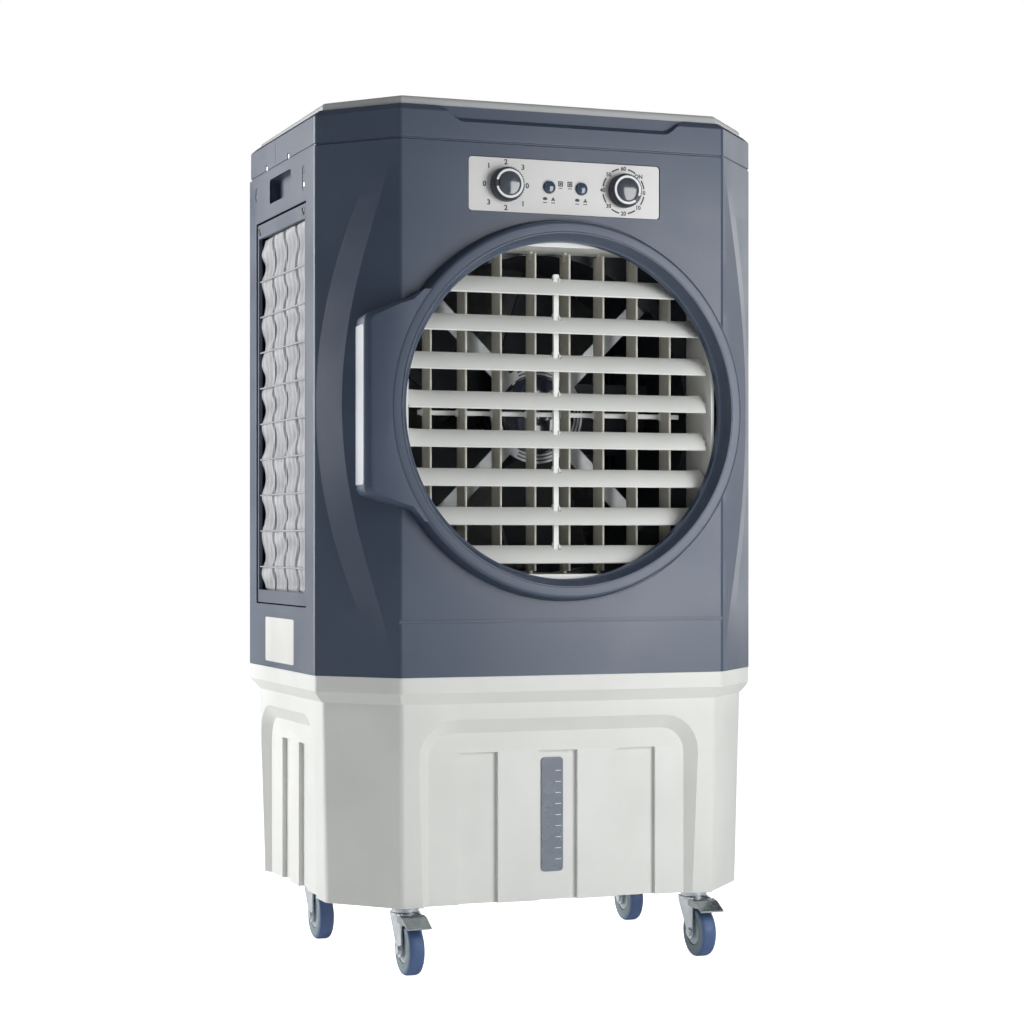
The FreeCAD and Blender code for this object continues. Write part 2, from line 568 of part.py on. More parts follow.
def make_front_shell():
    """Front with both cut corners, its outlet hole, control window, groove and crescents."""
    outer, inner = plan("0")[1:5], plan("case_wall")[1:5]
    corners = [(f"-{SIDE}", SEAM)] + outer + [(SIDE, SEAM), (f"{SIDE} - case_wall", SEAM)]
    corners += list(reversed(inner)) + [(f"-({SIDE} - case_wall)", SEAM)]
    front = prism("front_blank", "z", corners, TANK_TOP, CASE_TOP)
    behind = f"{FRONT} + case_wall * 2"
    ahead = f"{FRONT} - case_wall"
    outlet = rod("outlet_hole", "y", ("0", AXIS), ahead, behind, "outlet_radius + ring_wall + panel_gap")
    control = box("control_hole",
                  ("-(fascia_width / 2 + panel_gap)", "fascia_width / 2 + panel_gap"), (ahead, behind),
                  (f"{DIAL} - fascia_height / 2 - panel_gap", f"{DIAL} + fascia_height / 2 + panel_gap"))
    nose = f"({NOSE} - band_margin)"
    groove = box("band_groove", (f"-{nose}", nose), (ahead, f"{FRONT} + groove_depth"),
                 (f"{TANK_TOP} + band_rise", f"{TANK_TOP} + band_rise + band_groove"))
    blank = join("front_ridged", [front] + corner_ridges("shell"))
    keep(carve("front_shell", blank, [outlet, control, groove]))


def chamfer_point(along, depth):
    """Point on the left cut corner, from its rear edge along it and inwards from its face."""
    turn = "atan(chamfer_depth / chamfer_width)"
    across = f"-{SIDE} + ({along}) * cos({turn}) + ({depth}) * sin({turn})"
    level = f"{FRONT} + chamfer_depth - ({along}) * sin({turn}) + ({depth}) * cos({turn})"
    return across, level


def corner_ridges(owner):
    """Curved ridge on each cut corner: a crescent slopes up to it, and a wide face falls to the nose."""
    sections = []
    for step in range(-SIZES["crescent_steps"], SIZES["crescent_steps"] + 1):
        share = f"({step} / crescent_steps * crescent_tip)"
        rise = f"crescent_half_height * {share}"
        near = f"(crescent_margin + crescent_sag * {share} ^ 2)"
        width = f"(crescent_width * (1 - {share} ^ 2))"
        nose = "(sqrt(chamfer_width ^ 2 + chamfer_depth ^ 2))"
        sections.append((f"{TANK_TOP} + crescent_foot + crescent_half_height + {rise}", [
            chamfer_point(near, "case_wall / 2"), chamfer_point(near, "0"),
            chamfer_point(f"{near} + {width}", f"-crescent_slope * {width}"),
            chamfer_point(nose, "0"), chamfer_point(nose, "case_wall / 2")]))
    ridge = loft(f"{owner}_ridge", "z", sections)
    return [ridge, mirror(f"{owner}_ridge_right", ridge)]


SIDE_SCREWS = [
    (f"{SEAM} + screw_seam_gap", f"{CASE_TOP} - screw_top_drop"),
    (f"{SEAM} + screw_seam_gap", f"{CASE_TOP} - screw_second_drop"),
    (f"{BACK} - screw_rear_gap", f"{CASE_TOP} - screw_rear_drop"),
    (f"{PAD_FRONT} + screw_foot_gap", f"{TANK_TOP} + screw_foot_rise"),
    (f"{PAD_REAR} - screw_foot_gap", f"{TANK_TOP} + screw_foot_rise"),
]
LID_SCREWS = [
    (f"{BACK} - lid_screw_rear_gap", f"{CASE_TOP} + lid_screw_rise"),
    (f"{BACK} - lid_screw_front_gap", f"{CASE_TOP} + lid_screw_rise"),
]


def side_panel_left():
    """Flat side with the pad opening, the hand-grip pocket and its screw holes."""
    outside, inside = f"-{SIDE}", f"-{SIDE} + case_wall"
    sheet = box("side_sheet", (outside, inside), (SEAM, BACK), (TANK_TOP, CASE_TOP))
    opening = box("pad_opening", (f"{outside} - cut_room", f"{inside} + cut_room"),
                  (PAD_FRONT, PAD_REAR), (PAD_FOOT, PAD_TOP))
    grip_low, grip_high = f"{FRONT} + grip_place", f"{FRONT} + grip_place + grip_width"
    pocket = box("grip_pocket", (inside, f"{outside} + grip_depth"),
                 (f"{grip_low} - grip_wall", f"{grip_high} + grip_wall"),
                 (f"{GRIP_FOOT} - grip_wall", f"{GRIP_TOP} + grip_wall"))
    hollow = box("grip_hollow", (f"{outside} - cut_room", f"{outside} + grip_depth - grip_wall"),
                 (grip_low, grip_high), (GRIP_FOOT, GRIP_TOP))
    blank = join("side_blank", [sheet, pocket])
    return carve("side_panel_left", blank, [opening, hollow] + screw_rods("side", True))


def screw_rods(name, as_holes):
    """Shanks and heads of the flush screws on one face, or the holes for them."""
    spare = "running_gap" if as_holes else "0"
    pieces = []
    outside = f"-{SIDE}"
    spots = SIDE_SCREWS if name == "side" else LID_SCREWS
    for number, (along, rise) in enumerate(spots):
        label = f"{name}_{'hole' if as_holes else 'screw'}_{number}"
        head = rod(f"{label}_head", "x", (along, rise), outside, f"{outside} + screw_head_height",
                   f"screw_head + {spare}")
        shank = rod(f"{label}_shank", "x", (along, rise), f"{outside} + screw_head_height",
                    f"{outside} + screw_length", f"screw_shank + {spare}")
        pieces += [head, shank] if as_holes else [join(label, [head, shank])]
    return pieces


def make_side_panels():
    """The two side panels, mirror images of each other."""
    left = side_panel_left()
    keep(group("side_panels", [left, mirror("side_panel_right", left)]))


def make_screws():
    """Every flush screw in the sides and in the lid."""
    left = screw_rods("side", False) + screw_rods("lid", False)
    right = [mirror(f"{screw.Name}_right", screw) for screw in left]
    keep(group("screws", left + right))


def make_rear_panel():
    """Rear panel between the side panels, with a barred opening for its pad."""
    edge = f"{SIDE} - case_wall"
    thickness = (f"{BACK} - case_wall", BACK)
    sheet = box("rear_sheet", (f"-({edge})", edge), thickness, (TANK_TOP, CASE_TOP))
    opening = box("rear_opening", (f"-{REAR_PAD_HALF}", REAR_PAD_HALF),
                  (f"{BACK} - case_wall - cut_room", f"{BACK} + cut_room"), (PAD_FOOT, PAD_TOP))
    gland_hole = rod("gland_hole", "y", (f"{SIDE} - gland_inset", f"{TANK_TOP} + gland_rise"),
                     f"{BACK} - case_wall - cut_room", f"{BACK} + cut_room", "gland_radius + running_gap")
    frame = carve("rear_frame", sheet, [opening, gland_hole])
    bars = []
    for number in range(SIZES["side_bars"]):
        rise = f"{PAD_FOOT} + grid_first_row + {number} * {ROW_PITCH}"
        bars.append(box(f"rear_bar_{number}", (f"-{REAR_PAD_HALF} - cut_room", f"{REAR_PAD_HALF} + cut_room"),
                        thickness, (f"{rise} - grid_wire", f"{rise} + grid_wire")))
    for number in range(SIZES["rear_posts"]):
        across = f"({number + 1} / (rear_posts + 1) * 2 - 1) * {REAR_PAD_HALF}"
        bars.append(box(f"rear_post_{number}", (f"{across} - grid_wire / 2", f"{across} + grid_wire / 2"),
                        thickness, (f"{PAD_FOOT} - cut_room", f"{PAD_TOP} + cut_room")))
    keep(join("rear_panel", [frame] + bars))


def make_lid():
    """Lid with a skirt, a bevel and a scoop in its front, and the light plate on top."""
    brow = f"{CASE_TOP} + skirt_height"
    crest = f"{brow} + lid_bevel"
    outside = loft("lid_outside", "z", [
        (CASE_TOP, plan("0")), (brow, plan("0")), (crest, plan("lid_bevel_inset"))])
    inner = plan("case_wall")
    thick = [(inner[0]), (inner[1]), (inner[2][0], f"{FRONT} + lid_front_rim"),
             (inner[3][0], f"{FRONT} + lid_front_rim"), (inner[4]), (inner[5])]
    inside = prism("lid_inside", "z", thick, f"{CASE_TOP} - cut_room", f"{brow} - case_wall")
    scoop_foot = f"{CASE_TOP} + scoop_rise"
    flat = scoop_outline(scoop_foot, f"{crest} + cut_room")
    scoop_block = prism("scoop_block", "y", flat, f"{FRONT} - cut_room", f"{FRONT} + scoop_depth")
    ahead, behind = f"{FRONT} - cut_room", f"{FRONT} + scoop_depth"
    slope = [(ahead, f"{scoop_foot} - cut_room"), (behind, f"{brow} - case_wall"),
             (behind, f"{crest} + cut_room"), (ahead, f"{crest} + cut_room")]
    wedge = prism("scoop_wedge", "x", slope, "-scoop_top - cut_room", "scoop_top + cut_room")
    scoop = overlap("scoop", [scoop_block, wedge])
    keep(carve("top_cover", outside, [inside, scoop] + lid_holes()))
    plate_blank = prism("plate_blank", "z", plan("top_inset"), crest, f"{crest} + top_thickness + crown_rise")
    bulge = doc.addObject("Part::Sphere", "plate_bulge")
    bow = f"({SIDE} ^ 2 / (2 * crown_rise))"
    bulge.setExpression("Radius", link(bow))
    bulge.setExpression("Placement.Base.z", link(f"{crest} + top_thickness + crown_rise - {bow}"))
    keep(overlap("top_plate", [plate_blank, bulge]))


def scoop_outline(foot, top):
    """Scoop's outline from the front: a long foot with a double curve up to the brow at each end."""
    right, left = [], []
    steps = 6
    for step in range(steps + 1):
        share = f"({step} / {steps})"
        across = f"(scoop_foot + (scoop_top - scoop_foot) * {share})"
        up = f"{foot} + ({top} - ({foot})) * {share} ^ 2 * (3 - 2 * {share})"
        right.append((across, up))
        left.append((f"-{across}", up))
    return right + list(reversed(left))


def lid_holes():
    """Screw holes in both sides of the lid."""
    left = screw_rods("lid", True)
    return left + [mirror(f"{hole.Name}_right", hole) for hole in left]


# Outlet ring with its tab

def tab_outline(reach, spread):
    """Tab's outline seen from the front, from the ring's side round its far end."""
    return [(f"-{CREST} * 0.7", f"{AXIS} + tab_join_top"), ("-tab_join_reach", f"{AXIS} + tab_join_top"),
            ("-tab_neck_reach", f"{AXIS} + tab_neck_top + {spread}"),
            ("-tab_slope_reach", f"{AXIS} + tab_slope_top + {spread}"),
            (f"-{reach}", f"{AXIS} + tab_top + {spread}"), (f"-{reach}", f"{AXIS} - tab_foot - {spread}"),
            ("-tab_slope_reach", f"{AXIS} - tab_slope_foot - {spread}"),
            ("-tab_neck_reach", f"{AXIS} - tab_neck_foot - {spread}"),
            ("-tab_join_reach", f"{AXIS} - tab_join_foot"), (f"-{CREST} * 0.7", f"{AXIS} - tab_join_foot")]


def make_front_bezel():
    """Hollow outlet ring and the hollow tab on its left, both fitted round the cut corner."""
    nose = f"{FRONT} - front_reach"
    wall = "ring_wall"
    ring = turned("ring_shell", "y", ("0", AXIS), [
        (f"{FRONT} - ring_wall", "outlet_radius"), (f"{nose} + ring_slope_depth", "outlet_radius"),
        (nose, CREST), (f"{nose} + ring_shoulder_drop", CROWN),
        (f"{nose} + ring_round", RING), (f"{FRONT} + ring_back", RING),
        (f"{FRONT} + ring_back", f"{RING} - {wall}"),
        (f"{nose} + ring_round + ring_inside_step", f"{RING} - {wall}"),
        (f"{nose} + ring_shoulder_drop + {wall}", f"{CROWN} - ring_shoulder_wall"),
        (f"{nose} + {wall} * 1.2", CREST),
        (f"{nose} + ring_slope_depth + ring_inside_step", f"outlet_radius + {wall}"),
        (f"{FRONT} - ring_wall", f"outlet_radius + {wall}")])
    face = f"{FRONT} - tab_face"
    root = f"{FRONT} + tab_root"
    tab_outside = loft("tab_outside", "y", [
        (face, tab_outline("(tab_reach - tab_bevel)", "0")),
        (f"{face} + tab_bevel", tab_outline("tab_reach", "(tab_bevel / 2)")),
        (root, tab_outline("tab_root_reach", "(tab_bevel / 2)"))])
    tab_inside = loft("tab_inside", "y", [
        (f"{face} + {wall}", tab_outline(f"(tab_reach - tab_bevel - {wall})", f"(0 - {wall})")),
        (f"{face} + tab_bevel", tab_outline(f"(tab_reach - {wall})", f"(tab_bevel / 2 - {wall})")),
        (f"{root} + cut_room", tab_outline(f"(tab_root_reach - {wall})", f"(tab_bevel / 2 - {wall})"))])
    ring_core = rod("ring_core", "y", ("0", AXIS), f"{nose} - cut_room", f"{root} + cut_room",
                    f"{CREST} + tab_lap")
    ring_skin = rod("ring_skin", "y", ("0", AXIS), f"{face} + {wall}", f"{root} + cut_room",
                    f"{RING} - {wall}")
    tab = carve("tab_shell", carve("tab_blank", tab_outside, [ring_core]), [tab_inside, ring_skin])
    casing = prism("casing_block", "z", plan("0"), TANK_TOP, CASE_TOP)
    proud = carve("ring_proud", join("ring_and_tab", [ring, tab]), [casing] + corner_ridges("ring"))
    spigot = turned("spigot", "y", ("0", AXIS), [
        (f"{FRONT} - ring_wall", "outlet_radius"), (f"{FRONT} + spigot_depth", "outlet_radius"),
        (f"{FRONT} + spigot_depth", f"outlet_radius + {wall}"),
        (f"{FRONT} - ring_wall", f"outlet_radius + {wall}")])
    keep(join("front_bezel", [proud, spigot]))


# Control plate, its knobs and buttons, and the box behind it

STATIONS = {
    "speed": "-knob_spread",
    "pump": "-button_spread",
    "swing": "button_spread",
    "timer": "knob_spread",
}


def make_controls():
    """Control plate flush in its window, on the box that carries the switch and the timer."""
    face = f"{FRONT} + fascia_recess"
    back = f"{FRONT} + case_wall"
    plate = box("fascia_plate", ("-fascia_width / 2", "fascia_width / 2"), (face, back),
                (f"{DIAL} - fascia_height / 2", f"{DIAL} + fascia_height / 2"))
    stem_bore = "stem_radius + running_gap"
    holes = []
    for station, across in STATIONS.items():
        button = station in ("pump", "swing")
        radius = "button_radius + seat_gap" if button else stem_bore
        holes.append(rod(f"{station}_hole", "y", (across, DIAL), f"{face} - cut_room", f"{back} + cut_room",
                         radius))
    keep(carve("control_fascia", plate, holes))
    shell = box("box_shell",
                ("-fascia_width / 2 - box_margin", "fascia_width / 2 + box_margin"),
                (back, f"{back} + box_depth"),
                (f"{DIAL} - fascia_height / 2 - box_margin", f"{DIAL} + fascia_height / 2 + box_margin"))
    room = box("box_room",
               ("-fascia_width / 2 - box_margin + box_wall", "fascia_width / 2 + box_margin - box_wall"),
               (f"{back} + box_wall", f"{back} + box_depth + cut_room"),
               (f"{DIAL} - fascia_height / 2 - box_margin + box_wall",
                f"{DIAL} + fascia_height / 2 + box_margin - box_wall"))
    bores = [rod(f"{station}_bore", "y", (across, DIAL), f"{back} - cut_room",
                 f"{back} + box_wall + cut_room", stem_bore)
             for station, across in STATIONS.items()]
    devices = [carve("control_shell", shell, [room] + bores)]
    for station, across in STATIONS.items():
        button = station in ("pump", "swing")
        size, depth = ("micro_size", "micro_depth") if button else ("switch_size", "switch_depth")
        block = box(f"{station}_block", (f"{across} - {size} / 2", f"{across} + {size} / 2"),
                    (f"{back} + box_wall", f"{back} + box_wall + {depth}"),
                    (f"{DIAL} - {size} / 2", f"{DIAL} + {size} / 2"))
        socket = rod(f"{station}_socket", "y", (across, DIAL), back,
                     f"{back} + box_wall + {depth} - socket_floor", stem_bore)
        devices.append(carve(f"{station}_switch", block, [socket]))
    keep(group("control_box", devices))
    for station in ("speed", "timer"):
        make_knob(f"{station}_knob", STATIONS[station])
    for station in ("pump", "swing"):
        make_button(f"{station}_button", STATIONS[station])


def make_knob(name, across):
    """Round knob with a raised cap, a pointer slot and a stem into its switch."""
    seat = f"{FRONT} + fascia_recess - seat_gap"
    top = f"{seat} - knob_length"
    stem = f"{FRONT} + case_wall + box_wall + switch_depth - stem_gap"
    blank = turned(f"{name}_blank", "y", (across, DIAL), [
        (stem, "0"), (stem, "stem_radius"),
        (seat, "stem_radius"), (seat, "knob_radius"), (f"{top} + knob_bevel", "knob_radius - knob_draft"),
        (top, "knob_top_radius"), (top, "cap_radius"), (f"{top} - cap_height * 0.6", "cap_radius * 0.85"),
        (f"{top} - cap_height * 0.9", "cap_radius * 0.5"), (f"{top} - cap_height", "0")])
    slot = box(f"{name}_pointer", (f"{across} - pointer_width / 2", f"{across} + pointer_width / 2"),
               (f"{top} - cut_room", f"{top} + pointer_depth"),
               (f"{DIAL} + cap_radius", f"{DIAL} + knob_radius + cut_room"))
    keep(carve(name, blank, [slot]))


def make_button(name, across):
    """Domed push button on a stem."""
    crest = f"{FRONT} - button_reach"
    heel = f"{FRONT} + case_wall - button_travel - seat_gap"
    stem = f"{heel} + box_wall + micro_depth - socket_floor"
    keep(turned(name, "y", (across, DIAL), [
        (crest, "0"), (f"{crest} + button_dome * 0.25", "button_radius * 0.6"),
        (f"{crest} + button_dome", "button_radius"), (heel, "button_radius"), (heel, "stem_radius"),
        (stem, "stem_radius"), (stem, "0")]))


# Louvre: blades across, vanes upright, both in one frame behind the ring

BLADE_PLANE = f"({FRONT} + blade_place)"
VANE_PLANE = f"({FRONT} + vane_place)"
FRAME_FOOT = f"({AXIS} - {LOUVRE_HALF_HEIGHT} + rail_wall)"
FRAME_TOP = f"({AXIS} + {LOUVRE_HALF_HEIGHT} - rail_wall)"
POST_INSIDE = f"({LOUVRE_HALF_WIDTH} - louvre_wall)"


def blade_height(number):
    """Height of a blade's pivot, counted from the lowest blade."""
    return f"({TANK_TOP} + blade_first_rise + {number} * blade_pitch)"


def vane_across(number):
    """Place of a vane's pivot, counted from the left."""
    return f"(({number} - (vane_count - 1) / 2) * vane_pitch)"


def make_louvre_frame():
    """Rectangular frame with the pivot holes of blades and vanes."""
    front, rear = f"{FRONT} + louvre_front", f"{FRONT} + louvre_back"
    outer = box("louvre_outer", (f"-{LOUVRE_HALF_WIDTH}", LOUVRE_HALF_WIDTH), (front, rear),
                (f"{AXIS} - {LOUVRE_HALF_HEIGHT}", f"{AXIS} + {LOUVRE_HALF_HEIGHT}"))
    inner = box("louvre_inner", (f"-{POST_INSIDE}", POST_INSIDE),
                (f"{front} - cut_room", f"{rear} + cut_room"), (FRAME_FOOT, FRAME_TOP))
    tools = [inner]
    for number in range(SIZES["blade_count"]):
        tools.append(rod(f"blade_hole_{number}", "x", (BLADE_PLANE, blade_height(number)),
                         f"-{LOUVRE_HALF_WIDTH} - cut_room", f"{LOUVRE_HALF_WIDTH} + cut_room",
                         "blade_pin + running_gap"))
    foot_bore = (f"{FRAME_FOOT} - vane_pin_reach - cut_room", f"{FRAME_FOOT} + cut_room")
    head_bore = (f"{FRAME_TOP} - cut_room", f"{FRAME_TOP} + vane_pin_reach + cut_room")
    for number in range(SIZES["vane_count"]):
        for label, (low, high) in (("foot", foot_bore), ("head", head_bore)):
            tools.append(rod(f"vane_{label}_{number}", "z", (vane_across(number), VANE_PLANE), low, high,
                             "vane_pin + running_gap"))
    frame = carve("louvre_open", outer, tools)
    bosses = []
    for across in ("-1", "1"):
        for up in ("-1", "1"):
            centre = (f"{across} * ({LOUVRE_HALF_WIDTH} - boss_inset)",
                      f"{AXIS} + {up} * ({LOUVRE_HALF_HEIGHT} - boss_inset)")
            bosses.append(rod(f"louvre_boss_{len(bosses)}", "y", centre, f"{FRONT} + case_wall",
                              f"{front} + louvre_boss", "boss_inset"))
    keep(join("louvre_frame", [frame] + bosses))


def make_blade(number):
    """Horizontal louvre blade with end pivots and a pin for the link in a rear notch."""
    tag = f"blade_{number + 1}"
    half = f"({POST_INSIDE} - blade_end_gap)"
    outline = [
        ("-blade_chord / 2", "-blade_thickness * 0.35"), ("-blade_chord / 2", "blade_thickness * 0.35"),
        ("-blade_chord / 4", "blade_thickness / 2 + blade_camber * 0.7"),
        ("0", "blade_thickness / 2 + blade_camber"),
        ("blade_chord / 4", "blade_thickness / 2 + blade_camber * 0.7"),
        ("blade_chord / 2", "blade_thickness * 0.35"), ("blade_chord / 2", "-blade_thickness * 0.35"),
        ("blade_chord / 4", "blade_camber * 0.7 - blade_thickness / 2"),
        ("0", "blade_camber - blade_thickness / 2"),
        ("-blade_chord / 4", "blade_camber * 0.7 - blade_thickness / 2")]
    plate = prism(f"{tag}_plate", "x", outline, f"-{half}", half)
    notch = box(f"{tag}_notch", ("-link_slot / 2", "link_slot / 2"),
                ("blade_chord / 2 - link_slot_depth", "blade_chord"), ("-blade_chord", "blade_chord"))
    notched = carve(f"{tag}_notched", plate, [notch])
    centre = ("0", "0")
    root, tip = f"{half} - blade_chord / 3", f"{half} + blade_end_gap + blade_pin_reach"
    pins = [rod(f"{tag}_pin_left", "x", centre, f"-({tip})", f"-({root})", "blade_pin"),
            rod(f"{tag}_pin_right", "x", centre, root, tip, "blade_pin"),
            rod(f"{tag}_link_pin", "x", ("link_arm", "blade_camber * 0.3"),
                "-link_slot / 2 - link_pin_hold", "link_slot / 2 + link_pin_hold", "link_pin")]
    blade = join(tag, [notched] + pins)
    blade.Placement = App.Placement(Vector(), App.Rotation(Vector(1, 0, 0), SIZES["blade_tilt"]))
    blade.setExpression("Placement.Rotation.Angle", link("blade_tilt"))
    blade.setExpression("Placement.Base.y", link(BLADE_PLANE))
    blade.setExpression("Placement.Base.z", link(blade_height(number)))
    keep(blade)


def make_blade_link():
    """Upright link that holds every blade's rear pin."""
    lift = "(link_arm * sin(blade_tilt * 1 deg) + blade_camber * 0.3 * cos(blade_tilt * 1 deg))"
    back = "(link_arm * cos(blade_tilt * 1 deg) - blade_camber * 0.3 * sin(blade_tilt * 1 deg))"
    place = f"({BLADE_PLANE} + {back})"
    strip = box("blade_link_strip", ("-link_width / 2", "link_width / 2"),
                (f"{place} - link_thickness / 2", f"{place} + link_thickness / 2"),
                (f"{blade_height(0)} + {lift} - link_end",
                 f"{blade_height(SIZES['blade_count'] - 1)} + {lift} + link_end"))
    holes = [rod(f"link_hole_{number}", "x", (place, f"{blade_height(number)} + {lift}"),
                 "-link_width", "link_width", "link_pin + running_gap")
             for number in range(SIZES["blade_count"])]
    keep(carve("blade_link", strip, holes))


def make_vane(number):
    """Upright vane with end pivots and a pin for its link in a rear notch."""
    tag = f"vane_{number + 1}"
    across = vane_across(number)
    foot, top = f"{FRAME_FOOT} + vane_end_gap", f"{FRAME_TOP} - vane_end_gap"
    link_height = f"{TANK_TOP} + vane_link_rise"
    front, rear = f"{VANE_PLANE} - vane_chord / 2", f"{VANE_PLANE} + vane_chord / 2"
    thin, thick = "vane_thickness * 0.3", "vane_thickness / 2"
    plate = prism(f"{tag}_plate", "z", [
        (f"{across} - {thin}", front), (f"{across} + {thin}", front), (f"{across} + {thick}", VANE_PLANE),
        (f"{across} + {thin}", rear), (f"{across} - {thin}", rear), (f"{across} - {thick}", VANE_PLANE)],
        foot, top)
    notch = box(f"{tag}_notch", (f"{across} - vane_thickness", f"{across} + vane_thickness"),
                (f"{rear} - vane_slot_depth", f"{rear} + cut_room"),
                (f"{link_height} - vane_slot / 2", f"{link_height} + vane_slot / 2"))
    centre = (across, VANE_PLANE)
    pins = [rod(f"{tag}_foot_pin", "z", centre, f"{FRAME_FOOT} - vane_pin_reach", f"{foot} + vane_chord / 4",
                "vane_pin"),
            rod(f"{tag}_head_pin", "z", centre, f"{top} - vane_chord / 4", f"{FRAME_TOP} + vane_pin_reach",
                "vane_pin"),
            rod(f"{tag}_link_pin", "z", (across, f"{VANE_PLANE} + vane_arm"),
                f"{link_height} - vane_slot / 2 - link_pin_hold",
                f"{link_height} + vane_slot / 2 + link_pin_hold", "link_pin")]
    keep(join(tag, [carve(f"{tag}_notched", plate, [notch])] + pins))


def make_vane_link():
    """Level link that holds every vane's rear pin."""
    place = f"({VANE_PLANE} + vane_arm)"
    link_height = f"({TANK_TOP} + vane_link_rise)"
    strip = box("vane_link_strip",
                (f"{vane_across(0)} - link_end", f"{vane_across(SIZES['vane_count'] - 1)} + vane_link_end"),
                (f"{place} - link_thickness / 2", f"{place} + link_thickness / 2"),
                (f"{link_height} - link_width / 2", f"{link_height} + link_width / 2"))
    holes = [rod(f"vane_link_hole_{number}", "z", (vane_across(number), place),
                 f"{link_height} - link_width", f"{link_height} + link_width", "link_pin + running_gap")
             for number in range(SIZES["vane_count"])]
    keep(carve("vane_link", strip, holes))


def make_louvre():
    """Frame, blades, vanes, their links and the swing motor."""
    make_louvre_frame()
    for number in range(SIZES["blade_count"]):
        make_blade(number)
    for number in range(SIZES["vane_count"]):
        make_vane(number)
    make_blade_link()
    make_vane_link()
    height = f"{TANK_TOP} + vane_link_rise"
    keep(box("swing_motor", (LOUVRE_HALF_WIDTH, f"{LOUVRE_HALF_WIDTH} + drive_width"),
             (f"{VANE_PLANE} - drive_depth / 2", f"{VANE_PLANE} + drive_depth / 2"),
             (f"{height} - drive_height / 2", f"{height} + drive_height / 2")))


# Fan set

def make_fan_set():
    """Duct, motor bracket, motor and fan on the outlet's axis."""
    plate_front = f"{FRONT} + louvre_back"
    plate_back = f"{plate_front} + duct_plate_thickness"
    half = f"({SIDE} - duct_plate_inset)"
    plate = box("duct_plate", (f"-{half}", half), (plate_front, plate_back),
                (f"{AXIS} - {half}", f"{AXIS} + {half}"))
    hole = rod("duct_hole", "y", ("0", AXIS), f"{plate_front} - cut_room", f"{plate_back} + cut_room",
               "duct_radius + duct_wall + running_gap")
    duct = turned("duct_ring", "y", ("0", AXIS), [
        (plate_front, "duct_radius"), (f"{plate_front} + duct_length", "duct_radius"),
        (f"{plate_front} + duct_length", "duct_radius + duct_wall"),
        (plate_front, "duct_radius + duct_wall")])
    keep(group("fan_shroud", [carve("duct_flange", plate, [hole]), duct]))

    front = f"{FRONT} + bracket_place"
    back = f"{front} + bracket_thickness"
    ring = turned("bracket_hub", "y", ("0", AXIS), [
        (front, "bracket_bore"), (back, "bracket_bore"), (back, "bracket_ring"), (front, "bracket_ring")])
    pieces = [ring]
    reach = "duct_radius - seat_gap"
    turn = 360 / SIZES["bracket_arms"]
    for number in range(SIZES["bracket_arms"]):
        flat = box(f"arm_flat_{number}", ("bracket_ring - arm_lap", reach), (front, back),
                   ("-arm_width / 2", "arm_width / 2"))
        toe = box(f"arm_toe_{number}", (f"{reach} - bracket_thickness", reach), (front, f"{front} + arm_tab"),
                  ("-arm_width / 2", "arm_width / 2"))
        tip = rod(f"arm_tip_{number}", "y", ("0", "0"), f"{front} - cut_room",
                  f"{front} + arm_tab + cut_room", reach)
        arm = overlap(f"arm_{number}", [join(f"arm_blank_{number}", [flat, toe]), tip])
        arm.Placement = App.Placement(Vector(), App.Rotation(Vector(0, 1, 0), turn / 2 + turn * number))
        arm.setExpression("Placement.Base.z", link(AXIS))
        pieces.append(arm)
    keep(join("motor_bracket", pieces))

    nose = f"{front} - motor_nose"
    tail = f"{nose} + motor_length"
    keep(turned("fan_motor", "y", ("0", AXIS), [
        (nose, "0"), (nose, "motor_radius - motor_nose_inset"), (f"{nose} + motor_nose", "motor_radius"),
        (back, "motor_radius"), (back, "motor_flange"), (f"{back} + bracket_thickness", "motor_flange"),
        (f"{back} + bracket_thickness", "motor_radius"), (f"{tail} - motor_tail_round", "motor_radius"),
        (tail, "motor_radius - motor_tail_inset"), (tail, "shaft_radius"),
        (f"{tail} + shaft_length", "shaft_radius"),
        (f"{tail} + shaft_length", "0")]))

    hub_front = f"{tail} + fan_gap"
    hub_back = f"{hub_front} + fan_hub_length"
    hub = turned("fan_hub", "y", ("0", "0"), [
        (hub_front, "shaft_radius + running_gap"), (hub_back, "shaft_radius + running_gap"),
        (hub_back, "fan_hub_radius * 0.6"), (f"{hub_back} - fan_hub_round", "fan_hub_radius"),
        (hub_front, "fan_hub_radius")])
    sweep = rod("fan_sweep", "y", ("0", "0"), f"{hub_front} - fan_gap", f"{hub_back} + fan_gap", "fan_radius")
    middle = f"(({hub_front}) + ({hub_back})) / 2"
    blades = []
    turn = 360 / SIZES["fan_blades"]
    for number in range(SIZES["fan_blades"]):
        flat = box(f"fan_flat_{number}", ("fan_hub_radius - fan_root_lap", "fan_radius + fan_root_lap"),
                   ("-fan_blade_thickness / 2", "fan_blade_thickness / 2"),
                   ("-fan_blade_width / 2", "fan_blade_width / 2"))
        pitched = group(f"fan_pitched_{number}", [flat])
        pitched.Placement = App.Placement(Vector(), App.Rotation(Vector(1, 0, 0), SIZES["fan_pitch"]))
        pitched.setExpression("Placement.Rotation.Angle", link("fan_pitch"))
        pitched.setExpression("Placement.Base.y", link(middle))
        spread = group(f"fan_spread_{number}", [pitched])
        spread.Placement = App.Placement(Vector(), App.Rotation(Vector(0, 1, 0), turn * number))
        blades.append(overlap(f"fan_blade_{number}", [spread, sweep]))
    fan = join("fan", [hub] + blades)
    fan.setExpression("Placement.Base.z", link(AXIS))
    keep(fan)


# Cooling pads

